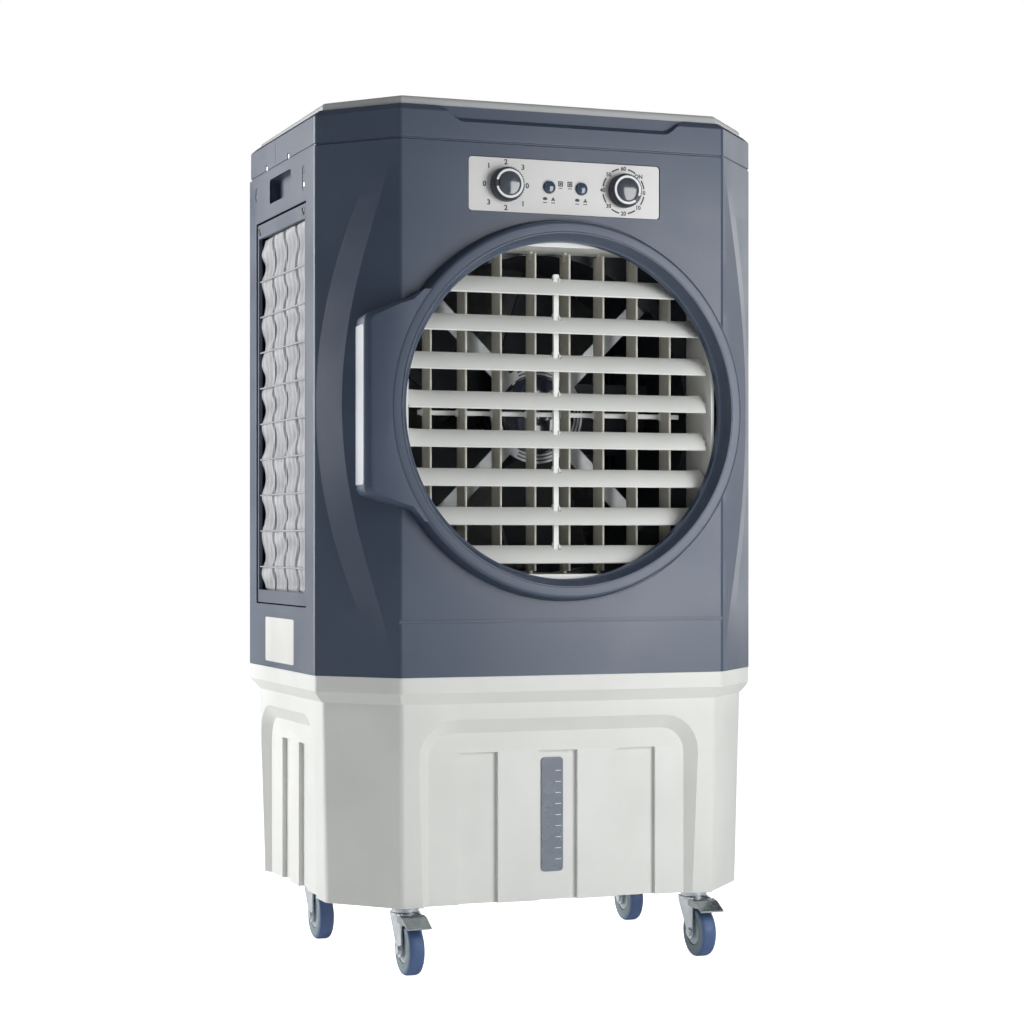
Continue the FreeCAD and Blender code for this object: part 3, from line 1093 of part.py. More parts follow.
def pad_frame_left():
    """Grid frame that fills the side panel's opening, with a latch at each top corner."""
    low, high = f"{PAD_FRONT} + panel_gap", f"{PAD_REAR} - panel_gap"
    foot, top = f"{PAD_FOOT} + panel_gap", f"{PAD_TOP} - panel_gap"
    outside, inside = f"-{SIDE}", f"-{SIDE} + pad_frame_depth"
    blank = box("frame_blank", (outside, inside), (low, high), (foot, top))
    hole = box("frame_hole", (f"{outside} - cut_room", f"{inside} + cut_room"),
               (f"{low} + pad_side_strip", f"{high} - pad_side_strip"),
               (f"{foot} + pad_foot_strip", f"{top} - pad_top_strip"))
    latch_height = f"{top} - pad_top_strip / 2"
    moats, bars = [], []
    for number, along in enumerate((f"{low} + latch_inset", f"{high} - latch_inset")):
        sunk = (outside, f"{outside} + groove_depth")
        moats.append(rod(f"latch_moat_{number}", "x", (along, latch_height), *sunk,
                         "latch_radius + latch_gap"))
        bars.append(rod(f"latch_{number}", "x", (along, latch_height), *sunk, "latch_radius"))
    wire = (f"{outside} + wire_inset", f"{outside} + wire_inset + grid_wire")
    for number in range(SIZES["side_bars"]):
        rise = f"{PAD_FOOT} + grid_first_row + {number} * {ROW_PITCH}"
        span = (f"{rise} - grid_wire / 2", f"{rise} + grid_wire / 2")
        bars.append(box(f"frame_bar_{number}", wire, (low, high), span))
    for number in range(1, SIZES["side_columns"]):
        along = f"{low} + {number} * ({PAD_REAR} - {PAD_FRONT}) / side_columns"
        span = (f"{along} - grid_wire / 2", f"{along} + grid_wire / 2")
        bars.append(box(f"frame_post_{number}", wire, span, (f"{foot} + wire_inset", f"{top} - wire_inset")))
    return join("pad_frame_left", [carve("frame_open", blank, [hole] + moats)] + bars)


def make_pads():
    """Side frames with their pads, and the fixed pad behind the rear panel."""
    left_frame = keep(pad_frame_left())
    low, high = f"{PAD_FRONT} + pad_side_strip", f"{PAD_REAR} - pad_side_strip"
    left_pad = keep(box("cooling_pad_left",
                        (f"-{SIDE} + pad_frame_depth + seat_gap", f"-{SIDE} + pad_frame_depth + pad_depth"),
                        (low, high), (f"{PAD_FOOT} + pad_side_strip", f"{PAD_TOP} - pad_top_room")))
    keep(mirror("pad_frame_right", left_frame))
    keep(mirror("cooling_pad_right", left_pad))
    half = f"({REAR_PAD_HALF} + pad_side_strip)"
    keep(box("cooling_pad_rear", (f"-{half}", half),
             (f"{BACK} - case_wall - seat_gap - pad_depth", f"{BACK} - case_wall - seat_gap"),
             (f"{PAD_FOOT} - pad_side_strip", f"{PAD_TOP} + pad_side_strip")))


# Water parts

def make_water_parts():
    """Distributor tray under the lid, pump with its riser, and the mains gland."""
    foot = f"{GRIP_TOP} + grip_wall"
    top = f"{foot} + tray_height"
    edge = "(screw_length + seat_gap)"
    left, right = f"-{SIDE} + {edge}", f"{SIDE} - {edge}"
    rear, front = f"{BACK} - {edge}", PAD_FRONT
    outline = [(left, rear), (left, front), (f"{left} + tray_width", front),
               (f"{left} + tray_width", f"{rear} - tray_width"),
               (f"{right} - tray_width", f"{rear} - tray_width"),
               (f"{right} - tray_width", front), (right, front), (right, rear)]
    trough = [(f"{left} + tray_wall", f"{rear} - tray_wall"), (f"{left} + tray_wall", f"{front} + tray_wall"),
              (f"{left} + tray_width - tray_wall", f"{front} + tray_wall"),
              (f"{left} + tray_width - tray_wall", f"{rear} - tray_width + tray_wall"),
              (f"{right} - tray_width + tray_wall", f"{rear} - tray_width + tray_wall"),
              (f"{right} - tray_width + tray_wall", f"{front} + tray_wall"),
              (f"{right} - tray_wall", f"{front} + tray_wall"),
              (f"{right} - tray_wall", f"{rear} - tray_wall")]
    tray = prism("tray_blank", "z", outline, foot, top)
    water = prism("tray_water", "z", trough, f"{foot} + tray_wall", f"{top} + cut_room")
    keep(carve("water_distributor", tray, [water]))

    floor = "castor_height + tank_wall"
    middle, across = f"({BACK} - pump_margin)", f"({SIDE} - pump_inset)"
    body = box("pump_body", (f"{across} - pump_width / 2", f"{across} + pump_width / 2"),
               (f"{middle} - pump_depth / 2", f"{middle} + pump_depth / 2"),
               (floor, f"{floor} + pump_height"))
    riser = rod("pump_riser", "z", (across, f"{middle} + pump_depth / 2 - riser_radius"),
                f"{floor} + pump_height", f"{foot} - seat_gap", "riser_radius")
    keep(join("water_pump", [body, riser]))

    keep(turned("mains_gland", "y", (f"({SIDE} - gland_inset)", f"{TANK_TOP} + gland_rise"), [
        (f"{BACK} - gland_reach", "0"), (f"{BACK} - gland_reach", "gland_radius"), (BACK, "gland_radius"),
        (BACK, "gland_flange"), (f"{BACK} + gland_flange_length", "gland_flange"),
        (f"{BACK} + gland_reach", "gland_radius * 0.7"), (f"{BACK} + gland_reach", "0")]))


def check_and_write():
    """Stop on any failed object or shape, then write each piece to its own file."""
    doc.recompute()
    for item in doc.Objects:
        if "Invalid" in item.State or "Error" in item.State:
            raise RuntimeError(f"{item.Name} did not build: {item.State}")
    os.makedirs("parts", exist_ok=True)
    for node in nodes:
        if node.Shape.isNull() or not node.Shape.isValid():
            raise RuntimeError(f"{node.Label} has no valid shape")
        node.Shape.exportStep(f"parts/{node.Label}.step")
        print(node.Label, len(node.Shape.Solids), round(node.Shape.Volume))


build_sheet()
make_tank()
make_tank_fittings()
make_castors()
make_front_shell()
make_side_panels()
make_screws()
make_rear_panel()
make_lid()
make_front_bezel()
make_controls()
make_louvre()
make_fan_set()
make_pads()
make_water_parts()
check_and_write()
print(len(nodes), "nodes")
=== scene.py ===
"""Visual model of an evaporative air cooler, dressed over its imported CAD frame.

Sizes are in metres in the CAD's own frame: +Z up, front towards -Y, +X to the right seen from the front.
"""
import json
import logging
import math
from collections.abc import Iterable, Sequence
from dataclasses import dataclass
from enum import Enum

import bmesh
import bpy
from bmesh.types import BMEdge, BMesh
from bpy.types import Material, Mesh, Node, NodeSocket, Object
from mathutils import Matrix, Vector


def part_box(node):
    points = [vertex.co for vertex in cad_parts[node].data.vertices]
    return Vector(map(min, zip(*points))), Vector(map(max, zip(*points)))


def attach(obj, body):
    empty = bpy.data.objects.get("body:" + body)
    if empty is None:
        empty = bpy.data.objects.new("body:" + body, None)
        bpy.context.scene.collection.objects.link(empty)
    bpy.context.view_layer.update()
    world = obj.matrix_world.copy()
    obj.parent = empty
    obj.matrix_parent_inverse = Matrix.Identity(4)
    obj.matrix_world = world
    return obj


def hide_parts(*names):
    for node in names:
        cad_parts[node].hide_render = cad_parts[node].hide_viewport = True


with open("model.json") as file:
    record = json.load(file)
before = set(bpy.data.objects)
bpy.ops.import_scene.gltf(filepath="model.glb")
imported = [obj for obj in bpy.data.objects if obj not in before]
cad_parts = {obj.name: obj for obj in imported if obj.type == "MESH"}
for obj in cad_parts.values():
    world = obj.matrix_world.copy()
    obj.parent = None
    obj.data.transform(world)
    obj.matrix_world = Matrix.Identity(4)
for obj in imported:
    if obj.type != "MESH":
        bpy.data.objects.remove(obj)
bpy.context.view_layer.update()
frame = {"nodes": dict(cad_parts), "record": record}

log = logging.getLogger("air_cooler")

Colour = tuple[float, float, float]
Point = tuple[float, float, float]
Flat = tuple[float, float]


# Materials

class Shader:
    """Node graph of one material, with short ways to add its nodes."""

    def __init__(self, name: str) -> None:
        """Start a material with one Principled surface.

        Args:
            name: Name of the material.
        """
        self.material = bpy.data.materials.new(name)
        self.material.use_nodes = True
        self.tree = self.material.node_tree
        self.tree.nodes.clear()
        output = self.add("ShaderNodeOutputMaterial")
        self.surface = self.add("ShaderNodeBsdfPrincipled")
        self.join(self.surface.outputs["BSDF"], output.inputs["Surface"])
        self.place = self.add("ShaderNodeTexCoord").outputs["Object"]

    def add(self, kind: str, **values: object) -> Node:
        """Add a node and set its own properties.

        Args:
            kind: Blender's name for the node type.
            values: Properties of the node by name.

        Returns:
            The new node.
        """
        node = self.tree.nodes.new(kind)
        for key, value in values.items():
            setattr(node, key, value)
        return node

    def join(self, source: NodeSocket, target: NodeSocket) -> None:
        """Link one socket to another."""
        self.tree.links.new(source, target)

    def set(self, **values: object) -> None:
        """Set uniform values on the surface's own sockets; underscores stand for spaces."""
        for key, value in values.items():
            self.surface.inputs[key.replace("_", " ")].default_value = value

    def noise(self, scale: float, detail: float = 2.0, stretch: Point = (1.0, 1.0, 1.0)) -> NodeSocket:
        """Noise in object space.

        Args:
            scale: Features per metre.
            detail: Number of finer layers.
            stretch: Factors on the three axes, larger for a finer pattern along that axis.

        Returns:
            The noise factor's socket.
        """
        mapping = self.add("ShaderNodeMapping")
        mapping.inputs["Scale"].default_value = stretch
        texture = self.add("ShaderNodeTexNoise")
        texture.inputs["Scale"].default_value = scale
        texture.inputs["Detail"].default_value = detail
        self.join(self.place, mapping.inputs["Vector"])
        self.join(mapping.outputs["Vector"], texture.inputs["Vector"])
        return texture.outputs["Fac"]

    def ranged(self, value: NodeSocket, low: float, high: float, start: float = 0.3, end: float = 0.7) -> NodeSocket:
        """Map a value between two limits.

        Args:
            value: The socket to map.
            low: Result where the value is at start.
            high: Result where the value is at end.
            start: Lower limit of the value.
            end: Upper limit of the value.

        Returns:
            The mapped socket.
        """
        mapper = self.add("ShaderNodeMapRange")
        for key, number in (("From Min", start), ("From Max", end), ("To Min", low), ("To Max", high)):
            mapper.inputs[key].default_value = number
        self.join(value, mapper.inputs["Value"])
        return mapper.outputs["Result"]

    def blend(self, share: NodeSocket, first: Colour | NodeSocket, second: Colour) -> NodeSocket:
        """Mix two colours by a factor.

        Args:
            share: The factor's socket.
            first: Colour or colour socket at zero.
            second: Colour at one.

        Returns:
            The mix's socket.
        """
        mix = self.add("ShaderNodeMix", data_type="RGBA")
        colours = [socket for socket in mix.inputs if socket.type == "RGBA"]
        if isinstance(first, NodeSocket):
            self.join(first, colours[0])
        else:
            colours[0].default_value = (*first, 1.0)
        colours[1].default_value = (*second, 1.0)
        self.join(share, next(socket for socket in mix.inputs if socket.name == "Factor" and socket.type == "VALUE"))
        return next(socket for socket in mix.outputs if socket.type == "RGBA")

    def tint(self, colour: NodeSocket) -> None:
        """Colour the surface by a socket."""
        self.join(colour, self.surface.inputs["Base Color"])

    def mottled(self, pattern: NodeSocket, colour: Colour, dark: float, light: float) -> NodeSocket:
        """Colour that a pattern varies between two shades."""
        return self.blend(self.ranged(pattern, 0.0, 1.0), shade(colour, dark), shade(colour, light))

    def rough(self, pattern: NodeSocket, low: float, high: float) -> None:
        """Let a pattern vary the roughness between two limits."""
        self.join(self.ranged(pattern, low, high), self.surface.inputs["Roughness"])

    def bump(self, heights: Sequence[tuple[NodeSocket, float]]) -> None:
        """Roughen the surface with one or more height patterns.

        Args:
            heights: Pairs of a height socket and its depth in metres.
        """
        last = None
        for height, depth in heights:
            node = self.add("ShaderNodeBump")
            node.inputs["Distance"].default_value = depth
            self.join(height, node.inputs["Height"])
            if last is not None:
                self.join(last, node.inputs["Normal"])
            last = node.outputs["Normal"]
        self.join(last, self.surface.inputs["Normal"])


def shade(colour: Colour, factor: float) -> Colour:
    """The same colour, lighter or darker by a factor."""
    return tuple(min(1.0, part * factor) for part in colour)


@dataclass(frozen=True)
class PlasticFinish:
    """Moulded plastic: fine spark-eroded grain, faint mottling and slightly worn edges."""
    name: str
    colour: Colour
    roughness: float = 0.42
    grain_depth: float = 0.00004
    mottle: float = 0.05
    grain: float = 1400.0
    wear: float = 0.10

    def material(self) -> Material:
        """Build the plastic's node material.

        Returns:
            The material.
        """
        shader = Shader(self.name)
        cloud = shader.noise(7.0, detail=3.0)
        edge = shader.add("ShaderNodeNewGeometry").outputs["Pointiness"]
        body = shader.mottled(cloud, self.colour, 1 - self.mottle, 1 + self.mottle)
        shader.tint(shader.blend(shader.ranged(edge, 0.0, self.wear, 0.52, 0.60), body, shade(self.colour, 1.6)))
        shader.rough(cloud, self.roughness - 0.05, self.roughness + 0.05)
        shader.bump([(shader.noise(self.grain, detail=1.0), self.grain_depth)])
        return shader.material


@dataclass(frozen=True)
class SteelFinish:
    """Plated or painted sheet steel with drawn streaks and dull patches."""
    name: str
    colour: Colour
    roughness: float = 0.30
    metallic: float = 1.0
    streak: Point = (1.0, 1.0, 14.0)

    def material(self) -> Material:
        """Build the steel's node material.

        Returns:
            The material.
        """
        shader = Shader(self.name)
        shader.set(Metallic=self.metallic)
        patch = shader.noise(45.0, detail=4.0)
        streaks = shader.noise(260.0, detail=2.0, stretch=self.streak)
        shader.tint(shader.mottled(patch, self.colour, 0.86, 1.1))
        shader.rough(streaks, self.roughness - 0.08, self.roughness + 0.10)
        shader.bump([(streaks, 0.00002), (patch, 0.00010)])
        return shader.material


@dataclass(frozen=True)
class TyreFinish:
    """Hard blue rubber tread with grey-blue sidewalls, scuffed where it rolls."""
    name: str
    tread: Colour
    sidewall: Colour

    def material(self) -> Material:
        """Build the tyre's node material.

        Returns:
            The material.
        """
        shader = Shader(self.name)
        side = shader.add("ShaderNodeSeparateXYZ")
        shader.join(shader.add("ShaderNodeNewGeometry").outputs["Normal"], side.inputs["Vector"])
        level = shader.add("ShaderNodeMath", operation="ABSOLUTE")
        shader.join(side.outputs["X"], level.inputs[0])
        share = shader.ranged(level.outputs["Value"], 0.0, 1.0, 0.55, 0.9)
        shader.tint(shader.blend(share, self.tread, self.sidewall))
        scuff = shader.noise(160.0, detail=4.0)
        shader.rough(scuff, 0.40, 0.62)
        shader.bump([(scuff, 0.00008)])
        return shader.material


@dataclass(frozen=True)
class PadFinish:
    """Matt cellulose fibre: upright fibres, tufts, and painted shade darkening its hollows."""
    name: str
    colour: Colour
    # Colour of the painted shade in the fibre's creases and in the gaps between its columns.
    hollow: Colour

    def material(self) -> Material:
        """Build the fibre's node material.

        Returns:
            The material.
        """
        shader = Shader(self.name)
        shader.set(Sheen_Weight=0.25, Sheen_Roughness=0.6)
        fibres = shader.noise(420.0, detail=4.0, stretch=(1.0, 1.0, 0.25))
        tufts = shader.noise(70.0, detail=5.0)
        # Painted shade: pointiness darkens creases and the gaps between columns towards the hollow colour, thinned by
        # the tufts.
        hollow_shade_mask = shader.add("ShaderNodeNewGeometry").outputs["Pointiness"]
        lit = shader.add("ShaderNodeMath", operation="MULTIPLY")
        shader.join(shader.ranged(hollow_shade_mask, 0.0, 1.0, 0.44, 0.53), lit.inputs[0])
        shader.join(shader.ranged(tufts, 0.75, 1.0), lit.inputs[1])
        shader.tint(shader.blend(lit.outputs["Value"], self.hollow, self.colour))
        shader.rough(fibres, 0.80, 0.95)
        shader.bump([(tufts, 0.0012), (fibres, 0.0006)])
        return shader.material


@dataclass(frozen=True)
class GlassFinish:
    """Tinted see-through plastic window, lightly hazed."""
    name: str
    colour: Colour
    roughness: float = 0.18

    def material(self) -> Material:
        """Build the window's node material.

        Returns:
            The material.
        """
        shader = Shader(self.name)
        shader.set(Transmission_Weight=0.12, IOR=1.49)
        haze = shader.noise(30.0, detail=3.0)
        shader.tint(shader.mottled(haze, self.colour, 0.92, 1.08))
        shader.rough(haze, self.roughness, self.roughness + 0.12)
        return shader.material


@dataclass(frozen=True)
class GlossFinish:
    """Glossy moulded cap under a clear coat, with faint fingerprints in its gloss."""
    name: str
    colour: Colour

    def material(self) -> Material:
        """Build the cap's node material.

        Returns:
            The material.
        """
        shader = Shader(self.name)
        shader.set(Coat_Weight=0.6, Coat_Roughness=0.05)
        smear = shader.noise(90.0, detail=5.0)
        shader.tint(shader.mottled(smear, self.colour, 0.9, 1.12))
        shader.rough(smear, 0.10, 0.20)
        return shader.material


FINE_GRAIN = 0.00001
FINISHES = {finish.name: finish for finish in (
    PlasticFinish("slate_plastic", (0.054, 0.075, 0.119), 0.36),
    PlasticFinish("tank_grey", (0.71, 0.72, 0.69), 0.45),
    PlasticFinish("light_plastic", (0.62, 0.64, 0.67), 0.35),
    PlasticFinish("pale_plastic", (0.78, 0.79, 0.76), 0.38),
    PlasticFinish("dark_plastic", (0.020, 0.024, 0.030), 0.40),
    PlasticFinish("dark_metal", (0.012, 0.013, 0.018), 0.16, FINE_GRAIN),
    GlassFinish("level_glass", (0.20, 0.23, 0.28)),
    SteelFinish("brass", (0.72, 0.53, 0.24), 0.28),
    SteelFinish("zinc_steel", (0.62, 0.66, 0.70), 0.28),
    SteelFinish("pale_metal", (0.36, 0.38, 0.39), 0.42, metallic=0.3),
    SteelFinish("pedal_steel", (0.34, 0.38, 0.40), 0.24),
    # The pad fibre's last colour is painted shade for its creases and the gaps between its columns.
    PadFinish("pad_fibre", (0.56, 0.57, 0.59), (0.10, 0.10, 0.11)),
    TyreFinish("tyre_blue", (0.065, 0.115, 0.255), (0.16, 0.22, 0.30)),
    GlossFinish("cap_gloss", (0.062, 0.072, 0.092)),
    GlossFinish("button_gloss", (0.045, 0.068, 0.115)),
    GlossFinish("motor_gloss", (0.014, 0.020, 0.042)),
    PlasticFinish("fascia_plastic", (0.67, 0.665, 0.66), 0.35),
    PlasticFinish("plate_plastic", (0.46, 0.47, 0.475), 0.45),
    PlasticFinish("knob_plastic", (0.042, 0.048, 0.062), 0.36),
    PlasticFinish("link_plastic", (0.80, 0.81, 0.80), 0.35),
    PlasticFinish("vane_plastic", (0.66, 0.64, 0.57), 0.40),
    PlasticFinish("print_ink", (0.045, 0.050, 0.062), 0.55, FINE_GRAIN),
    PlasticFinish("print_white", (0.78, 0.79, 0.80), 0.50, FINE_GRAIN),
    PlasticFinish("blank_label", (0.66, 0.66, 0.63), 0.40, FINE_GRAIN),
    PlasticFinish("wheel_core", (0.42, 0.49, 0.54), 0.40),
    # Dark finish of the wheels' band: painted shade of the groove beside the core.
    PlasticFinish("wheel_band_shade", (0.17, 0.22, 0.22), 0.50),
)}


class Palette:
    """Materials made once, each under its finish's name."""

    def __init__(self) -> None:
        """Start empty."""
        self.made: dict[str, Material] = {}

    def get(self, name: str) -> Material:
        """The material of a slot or of a finish by its name, made on its first use.

        Args:
            name: Name of the finish.

        Returns:
            Its material.
        """
        if name not in self.made:
            self.made[name] = FINISHES[name].material()
        return self.made[name]


PALETTE = Palette()


# Scene

@dataclass
class Studio:
    """Camera at the photograph's angle, soft lights, pale floor."""
    eye: Point = (-1.300, -3.5115, 0.635)
    turn: float = -20.417
    lens: float = 83.55
    sensor: float = 36.0
    shift: float = 0.0264
    aim: Point = (0.0, 0.0, 0.75)
    sky: Colour = (0.93, 0.96, 1.0)
    sky_power: float = 0.115
    floor_size: float = 60.0
    floor_glow: float = 0.13
    floor_seen: float = 0.95

    def build(self) -> None:
        """Make the camera, the world, the lights and the floor."""
        self.make_camera()
        self.make_world()
        for name, place, size, power in (("key_light", (0.80, -1.60, 0.85), (0.75, 1.2), 19.5),
                                         ("left_softbox", (-2.75, 2.2, 1.4), (2.4, 2.4), 136.0),
                                         ("right_softbox", (3.4, 1.8, 1.4), (2.2, 2.2), 24.0),
                                         ("top_light", (0.2, -0.4, 3.4), (2.4, 2.4), 3.0),
                                         ("glint_light", (-1.2, -2.8, 2.9), (0.5, 0.5), 5.0)):
            self.make_light(name, place, size, power)
        self.make_floor()

    def make_camera(self) -> None:
        """Place the camera that looks level at the machine from its front left."""
        data = bpy.data.cameras.new("photo_camera")
        data.sensor_width, data.lens, data.shift_y = self.sensor, self.lens, self.shift
        camera = make_object("photo_camera", data)
        camera.location = self.eye
        camera.rotation_euler = (math.radians(90.0), 0.0, math.radians(self.turn))
        bpy.context.scene.camera = camera

    def make_world(self) -> None:
        """White to the camera, and a dimmer sky for the light it gives."""
        world = bpy.data.worlds.new("studio_world")
        world.use_nodes = True
        tree = world.node_tree
        tree.nodes.clear()
        kinds = ("OutputWorld", "MixShader", "LightPath", "Background", "Background")
        output, mix, path, lit, seen = (tree.nodes.new(f"ShaderNode{kind}") for kind in kinds)
        for node, colour, power in ((lit, self.sky, self.sky_power), (seen, (1.0, 1.0, 1.0), 1.0)):
            node.inputs["Color"].default_value = (*colour, 1.0)
            node.inputs["Strength"].default_value = power
        for source, target in ((path.outputs["Is Camera Ray"], mix.inputs["Fac"]),
                               (lit.outputs["Background"], mix.inputs[1]),
                               (seen.outputs["Background"], mix.inputs[2]),
                               (mix.outputs["Shader"], output.inputs["Surface"])):
            tree.links.new(source, target)
        bpy.context.scene.world = world
        bpy.context.scene.view_settings.view_transform = "Standard"

    def make_light(self, name: str, place: Point, size: Flat, power: float) -> None:
        """One rectangular light, aimed at the machine's middle.

        Args:
            name: Name of the light.
            place: Its place.
            size: Its width and height.
            power: Its power in watts.
        """
        data = bpy.data.lights.new(name, "AREA")
        data.shape = "RECTANGLE"
        data.size, data.size_y = size
        data.energy = power
        light = make_object(name, data)
        light.location = place
        light.rotation_euler = (Vector(self.aim) - Vector(place)).to_track_quat("-Z", "Y").to_euler()

    def make_floor(self) -> None:
        """Lay the pale floor."""
        half = self.floor_size / 2
        mesh = bpy.data.meshes.new("floor")
        mesh.from_pydata([(-half, -half, 0), (half, -half, 0), (half, half, 0), (-half, half, 0)], [], [(0, 1, 2, 3)])
        shader = Shader("floor_paper")
        shader.tint(shader.blend(shader.noise(3.0, detail=2.0), (0.86, 0.86, 0.86), (0.90, 0.90, 0.90)))
        shader.set(Roughness=0.8, Emission_Color=(1.0, 1.0, 1.0, 1.0))
        seen = shader.add("ShaderNodeLightPath").outputs["Is Camera Ray"]
        shader.join(shader.ranged(seen, self.floor_glow, self.floor_seen, 0.0, 1.0),
                    shader.surface.inputs["Emission Strength"])
        mesh.materials.append(shader.material)
        make_object("floor", mesh)


# Mesh tools

def body_of(node: str) -> str:
    """The CAD body that a node belongs to."""
    bodies = frame["record"]["behaviour"]["bodies"]
    return next(body for body, nodes in bodies.items() if node in nodes)


def slot_of(node: str) -> str:
    """The record's material slot of a node."""
    return next(row["material_slot"] for row in frame["record"]["subparts"] if row["node"] == node)


def make_object(name: str, data: bpy.types.ID) -> Object:
    """Put a mesh, a camera or a light in the scene as an object at the origin.

    Args:
        name: Name of the object.
        data: Its mesh, camera, light or curve.

    Returns:
        The object.
    """
    piece = bpy.data.objects.new(name, data)
    bpy.context.scene.collection.objects.link(piece)
    return piece


def mesh_from(name: str, bm: BMesh, tidy: bool = True) -> Mesh:
    """Turn a bmesh into a mesh and free it, with its corners welded and its normals outwards unless told not.

    Args:
        name: Name of the mesh.
        bm: The bmesh, which is freed.
        tidy: Whether corners are welded and normals turned outwards.

    Returns:
        The mesh.
    """
    if tidy:
        bmesh.ops.remove_doubles(bm, verts=bm.verts, dist=0.000001)
        bmesh.ops.recalc_face_normals(bm, faces=bm.faces)
    mesh = bpy.data.meshes.new(name)
    bm.to_mesh(mesh)
    bm.free()
    return mesh


def merged_copy(node: str, angle: float = 1.0) -> BMesh:
    """Copy of a CAD node with its loose triangles merged into whole faces.

    Args:
        node: The CAD node.
        angle: Faces that meet at less than this many degrees become one; zero only welds the corners.

    Returns:
        The merged copy.
    """
    bm = bmesh.new()
    bm.from_mesh(frame["nodes"][node].data)
    bmesh.ops.remove_doubles(bm, verts=bm.verts, dist=0.00001)
    if angle:
        bmesh.ops.dissolve_limit(bm, angle_limit=math.radians(angle), verts=bm.verts, edges=bm.edges)
    return bm


def settle(piece: Object, bevel: float = 0.0, segments: int = 2, angle: float = 30.0, sharp: float = 32.0) -> Object:
    """Bevel what is left sharp, apply all modifiers and even out the shading.

    Args:
        piece: The object to finish.
        bevel: Width of the bevel, or zero for none.
        segments: Steps across the bevel.
        angle: Edges sharper than this many degrees are bevelled.
        sharp: Edges sharper than this many degrees stay crisp in the shading.

    Returns:
        The same object with a plain mesh.
    """
    if bevel:
        modifier = piece.modifiers.new("edges", "BEVEL")
        modifier.width = bevel
        modifier.segments = segments
        modifier.limit_method = "ANGLE"
        modifier.angle_limit = math.radians(angle)
        modifier.use_clamp_overlap = True
        modifier.miter_outer = "MITER_ARC"
    bake(piece)
    smooth(piece, sharp)
    if bevel:
        weighted = piece.modifiers.new("even_shading", "WEIGHTED_NORMAL")
        weighted.keep_sharp = True
        bake(piece)
    return piece


def bake(piece: Object) -> None:
    """Turn a piece's modifiers into plain mesh.

    Args:
        piece: The object.
    """
    mesh = bpy.data.meshes.new_from_object(piece.evaluated_get(bpy.context.evaluated_depsgraph_get()))
    piece.modifiers.clear()
    piece.data = mesh


def subtract(piece: Object, cutters: Iterable[Object]) -> Object:
    """Cut shapes out of a piece, remove the cutters and return the piece.

    Args:
        piece: The piece.
        cutters: Shapes to cut out of it, in order.

    Returns:
        The same piece.
    """
    for cutter in cutters:
        modifier = piece.modifiers.new("cut", "BOOLEAN")
        modifier.object = cutter
        modifier.operation = "DIFFERENCE"
        modifier.solver = "EXACT"
        bake(piece)
        bpy.data.objects.remove(cutter)
    return piece


def joined(name: str, parts: Iterable[Mesh | Object]) -> Mesh:
    """One mesh from several meshes and objects; the objects are removed.

    Args:
        name: Name of the mesh.
        parts: Meshes and objects to join, in order.

    Returns:
        The mesh.
    """
    bm = bmesh.new()
    for part in parts:
        if isinstance(part, Object):
            bm.from_mesh(part.data)
            bpy.data.objects.remove(part)
        else:
            bm.from_mesh(part)
    return mesh_from(name, bm, tidy=False)


def ring_loft(name: str, rings: Sequence[Sequence[Point]]) -> Mesh:
    """Skin over rings of points with equal counts, with both ends filled.

    Args:
        name: Name of the mesh.
        rings: The rings from one end to the other.

    Returns:
        The mesh.
    """
    bm = bmesh.new()
    rows = [[bm.verts.new(point) for point in ring] for ring in rings]
    count = len(rows[0])
    for low, high in zip(rows, rows[1:]):
        for at in range(count):
            after = (at + 1) % count
            bm.faces.new((low[at], low[after], high[after], high[at]))
    bm.faces.new(rows[0])
    bm.faces.new(list(reversed(rows[-1])))
    return mesh_from(name, bm)


def loft(name: str, rings: Sequence[Sequence[Point]]) -> Object:
    """Skin over rings of points, as an object."""
    return make_object(name, ring_loft(name, rings))


def turned_mesh(name: str, centre: Point, axis: str, profile: Sequence[Flat],
                steps: int = 64, loop: bool = False) -> Mesh:
    """Body of revolution.

    Args:
        name: Name of the mesh.
        centre: Point on the axis that profile distances count from.
        axis: "x", "y" or "z".
        profile: Points of (along the axis, radius); a radius of zero closes the end.
        steps: Divisions round the axis.
        loop: Whether the last profile point joins the first, as in a tube; otherwise open ends are filled.

    Returns:
        The closed mesh.
    """
    bm = bmesh.new()
    first, second = {"x": (1, 2), "y": (0, 2), "z": (0, 1)}[axis]
    along = {"x": 0, "y": 1, "z": 2}[axis]
    rows = []
    for place, radius in profile:
        row = []
        for step in range(steps if radius > 0 else 1):
            turn = 2 * math.pi * step / steps
            point = list(centre)
            point[along] += place
            point[first] += radius * math.cos(turn)
            point[second] += radius * math.sin(turn)
            row.append(bm.verts.new(point))
        rows.append(row)
    for low, high in zip(rows, rows[1:]):
        for step in range(steps):
            corners = [low[step % len(low)], low[(step + 1) % len(low)],
                       high[(step + 1) % len(high)], high[step % len(high)]]
            unique = list(dict.fromkeys(corners))
            if len(unique) > 2:
                bm.faces.new(unique)
    if loop:
        low, high = rows[-1], rows[0]
        for step in range(steps):
            after = (step + 1) % steps
            bm.faces.new((low[step], low[after], high[after], high[step]))
    else:
        for row in (rows[0], rows[-1]):
            if len(row) > 1:
                bm.faces.new(row)
    return mesh_from(name, bm)


def turned(name: str, centre: Point, axis: str, profile: Sequence[Flat], steps: int = 64,
           loop: bool = False) -> Object:
    """Body of revolution, as an object; its arguments are those of turned_mesh."""
    return make_object(name, turned_mesh(name, centre, axis, profile, steps, loop))


def prism_mesh(name: str, outline: Sequence[Flat], low: float, high: float, axis: str = "y") -> Mesh:
    """Outline pushed along an axis from low to high; its points hold the other two coordinates."""
    at = "xyz".index(axis)
    return ring_loft(name, [[(*point[:at], place, *point[at:]) for point in outline] for place in (low, high)])


def prism(name: str, outline: Sequence[Flat], low: float, high: float, axis: str = "y") -> Object:
    """Outline pushed along an axis, as an object."""
    return make_object(name, prism_mesh(name, outline, low, high, axis))


